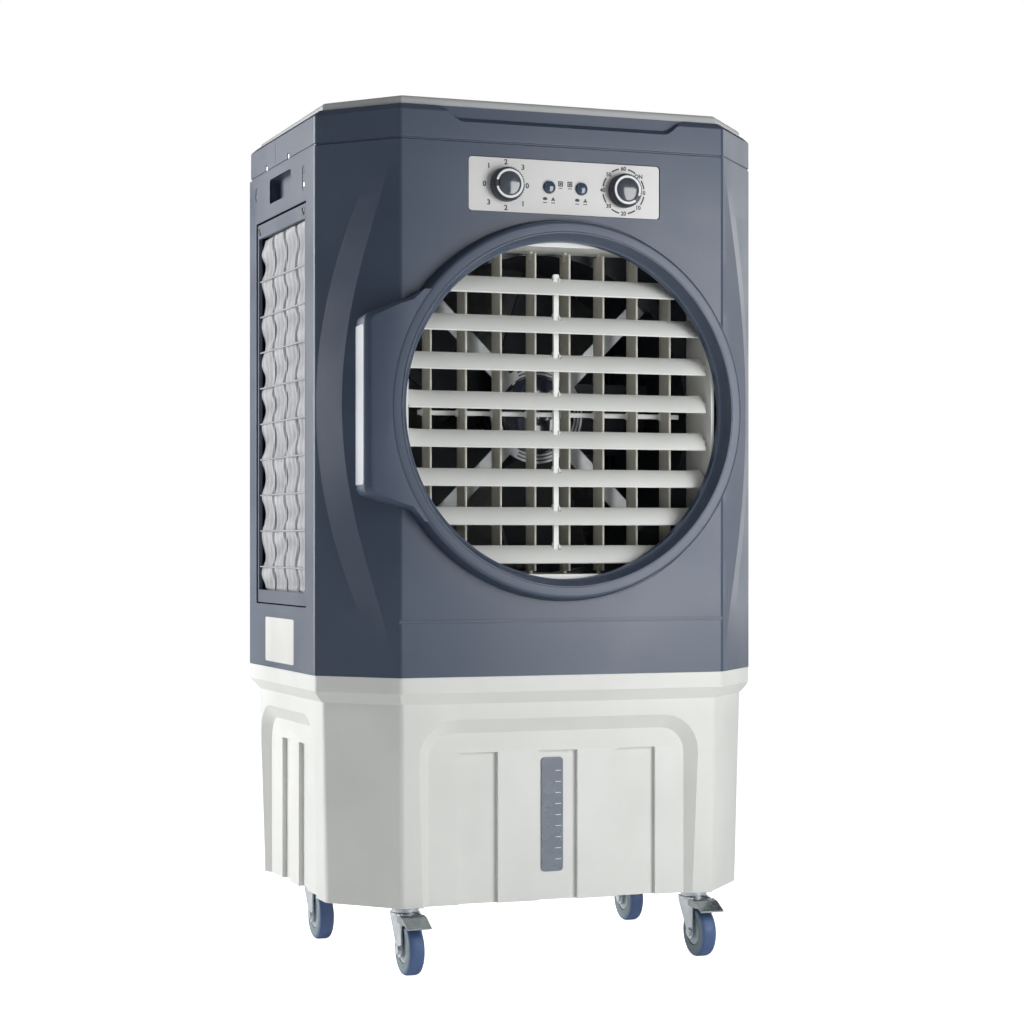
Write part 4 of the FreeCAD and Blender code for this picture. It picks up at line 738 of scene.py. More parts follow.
def rounded_corners(corners: Sequence[Flat], radii: Sequence[float],
                    steps: int) -> list[Flat]:
    """Outline with an arc at each corner.

    Args:
        corners: The sharp corners in order.
        radii: Radius at each corner; zero keeps it sharp, as repeated points.
        steps: Divisions of each arc.

    Returns:
        The outline's points, steps + 1 for each corner.
    """
    points = []
    count = len(corners)
    for at, corner in enumerate(corners):
        here = Vector(corner)
        before = (Vector(corners[at - 1]) - here).normalized()
        after = (Vector(corners[(at + 1) % count]) - here).normalized()
        half = before.angle(after) / 2
        reach = radii[at] / math.tan(half)
        start, end = here + before * reach, here + after * reach
        middle = here + (before + after).normalized() * (radii[at] / math.sin(half))
        for step in range(steps + 1):
            ray = Vector((0.0, 0.0))
            if radii[at]:
                ray = (start - middle).normalized().slerp((end - middle).normalized(), step / steps) * radii[at]
            points.append(tuple(middle + ray))
    return points


def box_corners(low: Flat, high: Flat) -> list[Flat]:
    """Corners of a rectangle."""
    return [low, (high[0], low[1]), high, (low[0], high[1])]


def rounded_box(low: Flat, high: Flat, radius: float, steps: int = 5) -> list[Flat]:
    """Rectangle with rounded corners."""
    return rounded_corners(box_corners(low, high), [radius] * 4, steps)


def tube(low: float, high: float, inner: float, outer: float) -> list[Flat]:
    """Section of a tube, for turning."""
    return [(low, inner), (low, outer), (high, outer), (high, inner)]


def mirrored(section: Sequence[Flat]) -> list[Flat]:
    """Half of a section and its mirror image across its first coordinate, as one outline."""
    return list(section) + [(-first, second) for first, second in reversed(section)]


def quarter(steps: int) -> list[float]:
    """Angles of a quarter turn in equal steps."""
    return [math.pi / 2 * step / steps for step in range(steps + 1)]


def round_places(centre: Point, radius: float, count: int) -> list[tuple[Point, Point]]:
    """Points round an axis along Y, clockwise from the top, each with its outward direction.

    Args:
        centre: Middle of the circle.
        radius: Radius of the circle.
        count: Number of points.

    Returns:
        Pairs of a point and its direction.
    """
    places = []
    for turn in (2 * math.pi * step / count for step in range(count)):
        out = Vector((math.sin(turn), 0.0, math.cos(turn)))
        places.append((tuple(Vector(centre) + out * radius), tuple(out)))
    return places


class NodeTree:
    """Geometry Nodes tree with named inputs, run once on a piece and turned into its plain mesh."""

    def __init__(self, name: str, **inputs: object) -> None:
        """Start a tree.

        Args:
            name: Name of the tree.
            inputs: Named inputs with their values: float, int, Vector, Material or Object.
        """
        self.tree = bpy.data.node_groups.new(name, "GeometryNodeTree")
        self.tree.interface.new_socket("Geometry", in_out="OUTPUT", socket_type="NodeSocketGeometry")
        self.tree.interface.new_socket("Geometry", in_out="INPUT", socket_type="NodeSocketGeometry")
        kinds = ((bool, "Bool"), (int, "Int"), (float, "Float"), (Vector, "Vector"),
                 (Material, "Material"), (Object, "Object"))
        self.values = {}
        for key, value in inputs.items():
            kind = next(word for form, word in kinds if isinstance(value, form))
            socket = self.tree.interface.new_socket(key, in_out="INPUT", socket_type=f"NodeSocket{kind}")
            self.values[socket.identifier] = value
        self.source = self.tree.nodes.new("NodeGroupInput")
        self.end = self.tree.nodes.new("NodeGroupOutput")

    def input(self, name: str) -> NodeSocket:
        """Socket of a named input."""
        return self.source.outputs[name]

    def add(self, kind: str, links: dict[str | int, object] | None = None, **values: object) -> Node:
        """Add a node.

        Args:
            kind: Blender's name for the node, without its GeometryNode or ShaderNode prefix where it has one.
            links: Sockets or plain values for its inputs, by name or number.
            values: Properties of the node.

        Returns:
            The node.
        """
        node = self.tree.nodes.new(kind)
        for key, value in values.items():
            setattr(node, key, value)
        for key, value in (links or {}).items():
            if isinstance(value, NodeSocket):
                self.tree.links.new(value, node.inputs[key])
            else:
                node.inputs[key].default_value = value
        return node

    def math(self, operation: str, first: object, second: object = 0.0) -> NodeSocket:
        """One step of arithmetic on sockets or numbers."""
        return self.add("ShaderNodeMath", {0: first, 1: second}, operation=operation).outputs["Value"]

    def finish(self, geometry: NodeSocket) -> None:
        """End the tree in Realize Instances and Set Material, with its input named Finish.

        Args:
            geometry: Socket of the finished geometry.
        """
        whole = self.add("GeometryNodeRealizeInstances", {"Geometry": geometry})
        dressed = self.add("GeometryNodeSetMaterial", {
            "Geometry": whole.outputs["Geometry"], "Material": self.input("Finish")})
        self.tree.links.new(dressed.outputs["Geometry"], self.end.inputs["Geometry"])

    def run(self, name: str, start: Mesh | None = None) -> Object:
        """Run the tree once.

        Args:
            name: Name of the new piece.
            start: Mesh that the tree works on, if any.

        Returns:
            The piece, with the tree's result as its plain mesh.
        """
        piece = make_object(name, start or bpy.data.meshes.new(name))
        modifier = piece.modifiers.new("tree", "NODES")
        modifier.node_group = self.tree
        for key, value in self.values.items():
            modifier[key] = value
        bake(piece)
        return piece


def smooth(piece: Object, sharp: float = 32.0) -> Object:
    """Shade a piece smoothly except across sharp edges.

    Args:
        piece: The object.
        sharp: Edges sharper than this many degrees stay crisp.

    Returns:
        The same object.
    """
    piece.data.polygons.foreach_set("use_smooth", [True] * len(piece.data.polygons))
    piece.data.set_sharp_from_angle(angle=math.radians(sharp))
    return piece


def place_piece(piece: Object, body: str, slot: str, nodes: Sequence[str] = (), finish: str = "") -> Object:
    """Dress a piece and tie it to the CAD frame.

    Args:
        piece: The finished object.
        body: Body that it rides on.
        slot: The record's slot that its finish comes from.
        nodes: CAD nodes that it stands for.
        finish: Name of its finish, or none to use the slot's own.

    Returns:
        The same object.
    """
    piece.data.materials.clear()
    piece.data.materials.append(PALETTE.get(finish or slot))
    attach(piece, body)
    if nodes:
        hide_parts(*nodes)
    log.info("made %s on %s", piece.name, body)
    return piece


def dress(piece: Object, node: str, finish: str = "", stands: bool = True) -> Object:
    """Place a piece by a CAD node's body and slot.

    Args:
        piece: The finished object.
        node: The node.
        finish: Name of its finish, or none to use the slot's own.
        stands: Whether it stands for the node, or only adds to it.

    Returns:
        The same object.
    """
    return place_piece(piece, body_of(node), slot_of(node), [node] if stands else (), finish)


def soften(node: str, bevel: float, merge: float = 1.0) -> Object:
    """Stand-in for a CAD node with its edges rounded.

    Args:
        node: The CAD node.
        bevel: Width of the rounded edges.
        merge: Faces that meet at less than this many degrees are merged first.

    Returns:
        The piece, with the node's name and "_soft".
    """
    label = f"{node}_soft"
    return dress(settle(make_object(label, mesh_from(label, merged_copy(node, merge))), bevel), node)


def spread(name: str, part: Mesh, places: Sequence[tuple[Point, Point]], body: str, slot: str,
           nodes: Sequence[str] = (), finish: str = "") -> Object:
    """Repeat a small part on points, each copy's Z axis along the point's direction.

    Args:
        name: Name of the new piece.
        part: The part's mesh about the origin, its outward side along +Z.
        places: Pairs of a point and the direction that the part faces there.
        body: Body that the piece rides on.
        slot: The record's slot of the piece.
        nodes: CAD nodes that it stands for.
        finish: Name of its finish, or none to use the slot's own.

    Returns:
        One piece with every copy in it.
    """
    points = bpy.data.meshes.new(f"{name}_points")
    points.from_pydata([place for place, _ in places], [], [])
    attribute = points.attributes.new("facing", "FLOAT_VECTOR", "POINT")
    attribute.data.foreach_set("vector", [value for _, facing in places for value in facing])
    source = make_object(f"{name}_part", part)
    tree = NodeTree(name, Part=source, Finish=PALETTE.get(finish or slot))
    facing = tree.add("GeometryNodeInputNamedAttribute", {"Name": "facing"}, data_type="FLOAT_VECTOR")
    aim = tree.add("FunctionNodeAlignRotationToVector", {"Vector": facing.outputs["Attribute"]}, axis="Z")
    info = tree.add("GeometryNodeObjectInfo", {"Object": tree.input("Part")})
    copies = tree.add("GeometryNodeInstanceOnPoints", {
        "Points": tree.input("Geometry"), "Instance": info.outputs["Geometry"],
        "Rotation": aim.outputs["Rotation"]})
    tree.finish(copies.outputs["Instances"])
    piece = tree.run(name, points)
    bpy.data.objects.remove(source)
    return place_piece(smooth(piece), body, slot, nodes, finish)


def wire_grid(name: str, lines: Sequence[tuple[Point, Point]], radius: float, body: str) -> Object:
    """Round metal wires along straight lines, swept by a node tree.

    Args:
        name: Name of the new piece.
        lines: Both ends of each wire.
        radius: Radius of the wires.
        body: Body that they ride on.

    Returns:
        One piece with every wire in it.
    """
    slot = "pale_metal"
    tree = NodeTree(f"{name}_tree", Radius=radius, Steps=10, Finish=PALETTE.get(slot))
    path = tree.add("GeometryNodeMeshToCurve", {"Mesh": tree.input("Geometry")})
    profile = tree.add("GeometryNodeCurvePrimitiveCircle", {
        "Resolution": tree.input("Steps"), "Radius": tree.input("Radius")}, mode="RADIUS")
    wires = tree.add("GeometryNodeCurveToMesh", {
        "Curve": path.outputs["Curve"], "Profile Curve": profile.outputs["Curve"], "Fill Caps": True})
    tree.finish(wires.outputs["Mesh"])
    start = bpy.data.meshes.new(f"{name}_lines")
    corners = [corner for line in lines for corner in line]
    start.from_pydata(corners, [(2 * at, 2 * at + 1) for at in range(len(lines))], [])
    return place_piece(smooth(tree.run(name, start), 50.0), body, slot)


def window_frame(name: str, axis: str, outline: Sequence[Flat], hole: Sequence[Flat], span: Flat,
                 bevel: float) -> Object:
    """Flat plate with a hole cut through it and its edges rounded.

    Args:
        name: Name of the piece.
        axis: Axis that the plate is pushed along.
        outline: Its outer outline.
        hole: Outline of its hole.
        span: Both faces' places on the axis.
        bevel: Width of the rounded edges.

    Returns:
        The plate.
    """
    cutter = prism("hole", hole, span[0] - CUT_ROOM, span[1] + CUT_ROOM, axis)
    return settle(subtract(prism(name, outline, *span, axis), [cutter]), bevel)


# Measures read from the frame

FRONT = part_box("front_shell")[0].y
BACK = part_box("rear_panel")[1].y
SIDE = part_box("front_shell")[1].x
TANK_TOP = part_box("front_shell")[0].z
CASE_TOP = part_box("front_shell")[1].z
AXIS = sum(corner.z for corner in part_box("louvre_frame")) / 2
NOSE = 0.2565
CHAMFER_DEPTH = 0.109
RING_CENTRE = (0.0, FRONT, AXIS)
WALL_FOOT, WALL_TOP = TANK_TOP + 0.0002, CASE_TOP - 0.0008
CUT_ROOM = 0.02
ORIGIN = (0.0, 0.0, 0.0)
PIN_SETBACK = 0.016


def plan(inset: float) -> list[Flat]:
    """Casing outline from above, anticlockwise from the left rear, moved inwards by a distance.

    Args:
        inset: The distance.

    Returns:
        The six corners.
    """
    slant = math.atan(CHAMFER_DEPTH / (SIDE - NOSE))
    side = SIDE - inset
    nose = NOSE - inset * math.tan(slant / 2)
    front = FRONT + inset
    shoulder = FRONT + CHAMFER_DEPTH + inset * math.tan((math.pi / 2 - slant) / 2)
    rear = BACK - inset
    left = [(-side, rear), (-side, shoulder), (-nose, front)]
    return left + [(nose, front), (side, shoulder), (side, rear)]


# Casing

@dataclass
class FrontShell:
    """Front wall with two cut corners, each with a curved ridge, and the band groove near its foot."""
    wall: float = 0.003
    seam: float = 0.119
    nose_radius: float = 0.009
    shoulder_radius: float = 0.007
    fillet_steps: int = 12
    rows: int = 90
    ridge_middle: float = 0.3975
    ridge_half: float = 0.3735
    ridge_sag: float = 0.113
    ridge_width: float = 0.051
    ridge_margin: float = 0.003
    ridge_slope: float = 0.2
    outlet_radius: float = 0.2524
    window: Flat = (0.3050, 0.0810)
    dial_rise: float = 0.7205
    groove: Flat = (0.078, 0.084)
    groove_depth: float = 0.0012
    contact: Flat = (0.2800, 0.2842)
    contact_depth: float = 0.0016
    bead: float = 0.0032
    crisp: float = 4.7
    room: float = 0.01

    def half_row(self, height: float) -> list[Flat]:
        """Left half of the outer skin at one height, from the seam to the middle of the front.

        Args:
            height: The height.

        Returns:
            Points from the seam to the middle.
        """
        corners = plan(0.0)
        shoulder, nose = Vector(corners[1]), Vector(corners[2])
        along = (nose - shoulder).normalized()
        outward = Vector((along.y, -along.x))
        share = min(1.0, abs(height - TANK_TOP - self.ridge_middle) / self.ridge_half)
        near = self.ridge_margin + self.ridge_sag * share ** 2
        width = max(0.0006, self.ridge_width * math.sqrt(1 - share ** 4))
        crest = self.ridge_slope * (width - 0.0006) * (1 - share ** 2)
        length = (nose - shoulder).length
        fillet = rounded_corners([corners[0], corners[1], corners[2], (0.0, FRONT)],
                                 [0.0, self.shoulder_radius, self.nose_radius, 0.0], self.fillet_steps)
        count = self.fillet_steps + 1
        round_shoulder, round_nose = fillet[count:2 * count], fillet[2 * count:3 * count]
        nose_start = length - (Vector(round_nose[0]) - nose).length
        last = shoulder + along * near
        top = shoulder + along * (near + width) + outward * crest
        slope = [top.lerp(shoulder + along * nose_start, part / 3) for part in (0, 1, 2)]
        return [(-SIDE, FRONT + self.seam), *round_shoulder, tuple(last), *[tuple(point) for point in slope],
                *round_nose]

    def row(self, height: float) -> list[Point]:
        """Closed section of the wall at one height.

        Args:
            height: The height.

        Returns:
            Points of the section.
        """
        left = self.half_row(height)
        right = [(-across, along) for across, along in reversed(left)]
        inner = plan(self.wall)[1:5]
        seam = FRONT + self.seam
        inside = [(SIDE - self.wall, seam), *reversed(inner), (self.wall - SIDE, seam)]
        return [(across, along, height) for across, along in left + right + inside]

    def build(self) -> None:
        """Make the wall, cut its openings and lay the bead in its groove."""
        heights = [TANK_TOP + (CASE_TOP - TANK_TOP) * step / self.rows for step in range(self.rows + 1)]
        heights[0], heights[-1] = WALL_FOOT, WALL_TOP
        dial = TANK_TOP + self.dial_rise - 0.0005
        half_width, half_height = self.window[0] / 2, self.window[1] / 2
        window = rounded_box((-half_width, dial - half_height), (half_width, dial + half_height), 0.0060)
        reach = NOSE + 0.0005
        low, high = (TANK_TOP + place for place in self.groove)
        groove = rounded_box((-reach - 0.003, low), (reach, high), 0.0028)
        near = FRONT - self.room
        shell = subtract(loft("front_wall", [self.row(height) for height in heights]), [
            turned("outlet_cut", RING_CENTRE, "y",
                   [(-self.room, self.outlet_radius), (2 * self.room, self.outlet_radius)], 128),
            prism("window_cut", window, near, FRONT + self.room),
            prism("groove_cut", groove, near, FRONT + self.groove_depth),
            turned("contact_cut", RING_CENTRE, "y", tube(-self.room, self.contact_depth, *self.contact), 160, True)])
        dress(settle(shell, sharp=self.crisp), "front_shell")
        middle, half = (low + high) / 2, self.bead / 2
        bead = rounded_box((-reach - 0.001, middle - half), (reach - 0.002, middle + half), half - 0.0001, 4)
        strip = prism("band_bead", bead, FRONT + 0.0001, FRONT + 0.0022)
        dress(settle(strip, 0.0005), "front_shell", stands=False)


@dataclass
class Lid:
    """Lid with a shadow gap at its foot, rounded corners, a scooped brow and the crowned light plate."""
    skirt: float = 0.044
    bevel: float = 0.008
    bevel_inset: float = 0.010
    corner: float = 0.009
    scoop_top: float = 0.200
    scoop_foot: float = 0.160
    scoop_rise: float = 0.016
    scoop_depth: float = 0.012
    scoop_lift: float = 0.020
    plate_inset: float = 0.014
    plate_thickness: float = 0.012
    crown: float = 0.008
    seam_place: float = 0.087
    screw_places: Flat = (0.108, 0.238)

    def ring(self, inset: float, height: float) -> list[Point]:
        """Rounded outline of the lid at one height."""
        outline = rounded_corners(plan(inset), [max(0.001, self.corner - inset / 2)] * 6, 6)
        return [(across, along, height) for across, along in outline]

    def build(self) -> None:
        """Make the lid, scoop its brow and lay the plate."""
        brow = CASE_TOP + self.skirt
        crest = brow + self.bevel
        levels = [(0.0015, CASE_TOP + 0.0002), (0.0015, CASE_TOP + 0.0022), (0.0002, CASE_TOP + 0.0030),
                  (0.0, CASE_TOP + 0.006), (0.0, brow - 0.002), (0.0004, brow - 0.0007), (0.0014, brow + 0.0006),
                  (self.bevel_inset - 0.0012, crest - 0.0008), (self.bevel_inset, crest - 0.0001),
                  (self.bevel_inset + 0.002, crest)]
        hollow = ((0.018, CASE_TOP - 0.01), (0.018, brow - 0.003))
        cutters = [self.scoop_cutter(crest), loft("lid_hollow", [self.ring(*level) for level in hollow])]
        for side in (-1, 1):
            edge = sorted((side * (SIDE + 0.01), side * (SIDE - 0.0009)))
            seam = box_corners((self.seam_place - 0.0006, CASE_TOP - 0.01), (self.seam_place + 0.0006, brow - 0.001))
            cutters.append(prism("seam_cut", seam, *edge, "x"))
            pocket = [(side * -0.0016, 0.0), (side * -0.0016, 0.0052), (side * 0.01, 0.0052), (side * 0.01, 0.0)]
            cutters += [turned("pocket", (side * SIDE, BACK - along, CASE_TOP + 0.006), "x", pocket, 32)
                        for along in self.screw_places]
        lid = subtract(loft("lid", [self.ring(*level) for level in levels]), cutters)
        dress(settle(lid, 0.0009, 3, angle=22.0, sharp=28.0), "top_cover")
        self.make_plate(crest)

    def scoop_cutter(self, crest: float) -> Object:
        """Space of the scoop: a long foot with a double curve up to the brow at each end.

        Args:
            crest: Height of the lid's top face.

        Returns:
            The cutter.
        """
        foot = CASE_TOP + self.scoop_rise
        steps, right = 14, []
        for share in (step / steps for step in range(steps + 1)):
            right.append((self.scoop_foot + (self.scoop_top - self.scoop_foot) * share,
                          foot + (crest + 0.001 - foot) * share ** 2 * (3 - 2 * share)))
        outline = mirrored(right)
        near = [(across, FRONT - 0.02, up) for across, up in outline]
        far = [(across, FRONT + self.scoop_depth, up + max(0.0, self.scoop_lift * (1 - (up - foot) / (crest - foot))))
               for across, up in outline]
        return loft("scoop_cut", [near, far])

    def make_plate(self, crest: float) -> None:
        """Crowned plate with a rounded rim.

        Args:
            crest: Height of the lid's top face.
        """
        bow = SIDE ** 2 / (2 * self.crown)
        top = crest + self.plate_thickness + self.crown
        levels = [(0.0, 0.007), (0.0004, 0.0045), (0.0016, 0.0022), (0.0035, 0.0008), (0.006, 0.0002)]
        flat = [(self.ring(self.plate_inset + inset, 0.0), drop) for inset, drop in levels]
        flat += [([(x * share, y * share, 0.0) for x, y, _ in flat[-1][0]], 0.0)
                 for share in (0.85, 0.68, 0.5, 0.32, 0.15)]
        rings = [self.ring(self.plate_inset, crest + 0.0002)]
        rings += [[(x, y, top - (x * x + y * y) / (2 * bow) - drop) for x, y, _ in ring] for ring, drop in flat]
        dress(smooth(loft("lid_plate", rings), 40.0), "top_plate", "plate_plastic")


@dataclass
class Tank:
    """Moulded tank: the CAD shape with rounded corners, arches and channels."""
    corner: float = 0.00588
    edge: float = 0.0028
    inset: float = 0.010
    nearness: float = 0.0125
    shortest: float = 0.010
    rear_room: float = 0.05

    def upright(self, edge: BMEdge) -> bool:
        """Whether an edge runs down one of the four front corners.

        Args:
            edge: An edge of the tank.

        Returns:
            Whether it does.
        """
        first, second = (vert.co for vert in edge.verts)
        middle, length = (first + second) / 2, (first - second).length
        steep = abs(first.z - second.z) > 0.8 * length
        near = min((middle.xy - Vector(corner)).length for corner in plan(self.inset)) < self.nearness
        outside = all(face.normal.xy.dot(middle.xy) > 0 for face in edge.link_faces)
        return steep and near and outside and middle.y < BACK - self.rear_room and length > self.shortest

    def build(self) -> None:
        """Round the tank's upright corners, then every other edge."""
        bm = merged_copy("tank")
        uprights = [edge for edge in bm.edges if len(edge.link_faces) == 2 and self.upright(edge)]
        bmesh.ops.bevel(bm, geom=uprights, offset=self.corner, offset_type="OFFSET", segments=6, profile=0.5,
                        affect="EDGES", clamp_overlap=False)
        tank = make_object("tank_body", mesh_from("tank_body", bm))
        dress(settle(tank, self.edge, 3, angle=24.0, sharp=30.0), "tank")


@dataclass
class Bezel:
    """Outlet ring with a rolled crest over a cove, and the tab on its left."""
    opening: float = 0.249
    crest: float = 0.2605
    outer: float = 0.282
    reach: float = 0.025
    back: float = 0.034
    wall: float = 0.003
    cove: float = 0.0195
    bead: float = 0.0016
    bead_drop: float = 0.0008
    band_drop: float = 0.0008
    edge: float = 0.0052
    slope: float = 0.0042
    tab_face: float = 0.0236
    tab_root: float = 0.066
    tab_reach: float = 0.315
    tab_root_reach: float = 0.306
    tab_bevel: float = 0.008
    strip_low: float = -0.112
    strip_high: float = 0.118

    def profile(self) -> list[Flat]:
        """Ring's section: bore, cove, beaded crest, flat band, slanted outside, and the hollow behind.

        Returns:
            Points along and out from the ring's axis.
        """
        steps = 8
        nose, rim = -self.reach, self.outer - self.slope
        inside, deep = self.crest - self.bead, self.cove - self.bead_drop
        points = [(0.008, self.opening), (nose + self.cove, self.opening)]
        for share in (1 - step / steps for step in range(1, steps)):
            points.append((nose + self.bead_drop + deep * math.sin(math.pi / 2 * share),
                           inside - (inside - self.opening) * share))
        for turn in (math.pi * step / steps for step in range(steps + 1)):
            points.append((nose + self.bead_drop * (1 - math.sin(turn)), self.crest - self.bead * math.cos(turn)))
        band = nose + self.band_drop
        points += [(band + self.edge * (1 - math.cos(turn)), rim - self.edge * (1 - math.sin(turn)))
                   for turn in quarter(steps)]
        return points + [(0.0, self.outer), (self.back, self.outer), (self.back, self.outer - self.wall),
                         (0.0, self.outer - self.wall), (band + self.wall, rim - self.wall),
                         (nose + self.wall * 1.4, self.crest), (nose + self.cove + self.wall, self.opening + self.wall),
                         (0.008, self.opening + self.wall)]

    def tab_ring(self, depth: float, reach: float, spread: float) -> list[Point]:
        """Rounded outline of the tab at one depth.

        Args:
            depth: Depth behind the front face.
            reach: Reach of the tab to the left.
            spread: Added height above and below.

        Returns:
            Points of the outline.
        """
        half = [(-0.190, 0.170), (-0.226, 0.170), (-0.243, 0.155 + spread), (-0.263, 0.148 + spread),
                (-reach, 0.127 + spread)]
        foot = [(-reach, -0.121 - spread), (-0.263, -0.138 - spread), (-0.243, -0.144 - spread),
                (-0.226, -0.165), (-0.190, -0.165)]
        radii = [0.001, 0.004, 0.007, 0.009, 0.013]
        outline = rounded_corners(half + foot, radii + radii[::-1], 5)
        return [(across, FRONT + depth, AXIS + up) for across, up in outline]

    def build(self) -> None:
        """Turn the ring, loft the tab and set the pale strip of painted highlight on its side."""
        dress(smooth(turned("outlet_ring", RING_CENTRE, "y", self.profile(), 192, True), 40.0), "front_bezel")
        face, shoulder, half = -self.tab_face, self.tab_bevel - self.tab_face, self.tab_bevel / 2
        levels = [(face, self.tab_reach - self.tab_bevel - 0.0012, -0.0010),
                  (face + 0.0004, self.tab_reach - self.tab_bevel, -0.0002),
                  (shoulder - 0.0008, self.tab_reach - 0.0008, half - 0.0004),
                  (shoulder + 0.0010, self.tab_reach, half), (self.tab_root, self.tab_root_reach, half)]
        core = self.crest + 0.0076
        near, side = FRONT + 0.002, 0.004 - NOSE
        tab = subtract(loft("outlet_tab", [self.tab_ring(*level) for level in levels]), [
            turned("tab_core", RING_CENTRE, "y", [(-0.05, core), (0.09, core)], 160),
            prism("tab_clear", box_corners((side, near), (0.0, near + 0.2)), AXIS - 0.3, AXIS + 0.3, "z")])
        dress(smooth(tab, 24.0), "front_bezel", stands=False)
        self.make_highlight_strip()

    def make_highlight_strip(self) -> None:
        """Pale strip down the tab's side: painted highlight where its side face catches the bright light from the left.
        """
        shoulder = FRONT - self.tab_face + self.tab_bevel
        outline = rounded_box((shoulder + 0.0022, AXIS + self.strip_low),
                              (FRONT + self.tab_root - 0.003, AXIS + self.strip_high), 0.008, 6)
        strip = prism("tab_strip", outline, -0.0012, 0.0, "x")
        slant = (self.tab_reach - self.tab_root_reach) / (FRONT + self.tab_root - shoulder)
        for vert in strip.data.vertices:
            vert.co.x += slant * (vert.co.y - shoulder) - self.tab_reach + 0.0002
        # Painted highlight: the pale finish stands for the light that the tab's side face catches.
        place_piece(settle(strip, 0.0004), "cabinet", "light_plastic")


class Dial(Enum):
    """Printed scales of the two dials: words clockwise from the top, one each 45 or 60 degrees."""
    SPEED = ("2", "3", "0", "1", "2", "3", "0", "1")
    TIMER = ("60", "ON", "0", "10", "20", "30", "40", "50")


def arc_into(bm: BMesh, centre: Flat, radii: Flat, turns: Flat, depth: Flat) -> None:
    """Add a flat arc that faces the front.

    Args:
        bm: Mesh to add it to.
        centre: The arc's middle, across and up.
        radii: Its inner and outer radius.
        turns: Its ends, in degrees clockwise from the top.
        depth: Places of its front and its back.
    """
    steps = max(2, int(abs(turns[1] - turns[0]) / 6))
    rows = []
    for step in range(steps + 1):
        turn = math.radians(turns[0] + (turns[1] - turns[0]) * step / steps)
        rows.append([bm.verts.new((centre[0] + radius * math.sin(turn), at, centre[1] + radius * math.cos(turn)))
                     for radius, at in ((radii[0], depth[0]), (radii[1], depth[0]),
                                        (radii[1], depth[1]), (radii[0], depth[1]))])
    for low, high in zip(rows, rows[1:]):
        for side in range(4):
            after = (side + 1) % 4
            bm.faces.new((low[side], low[after], high[after], high[side]))
    bm.faces.new(rows[0])
    bm.faces.new(rows[-1])


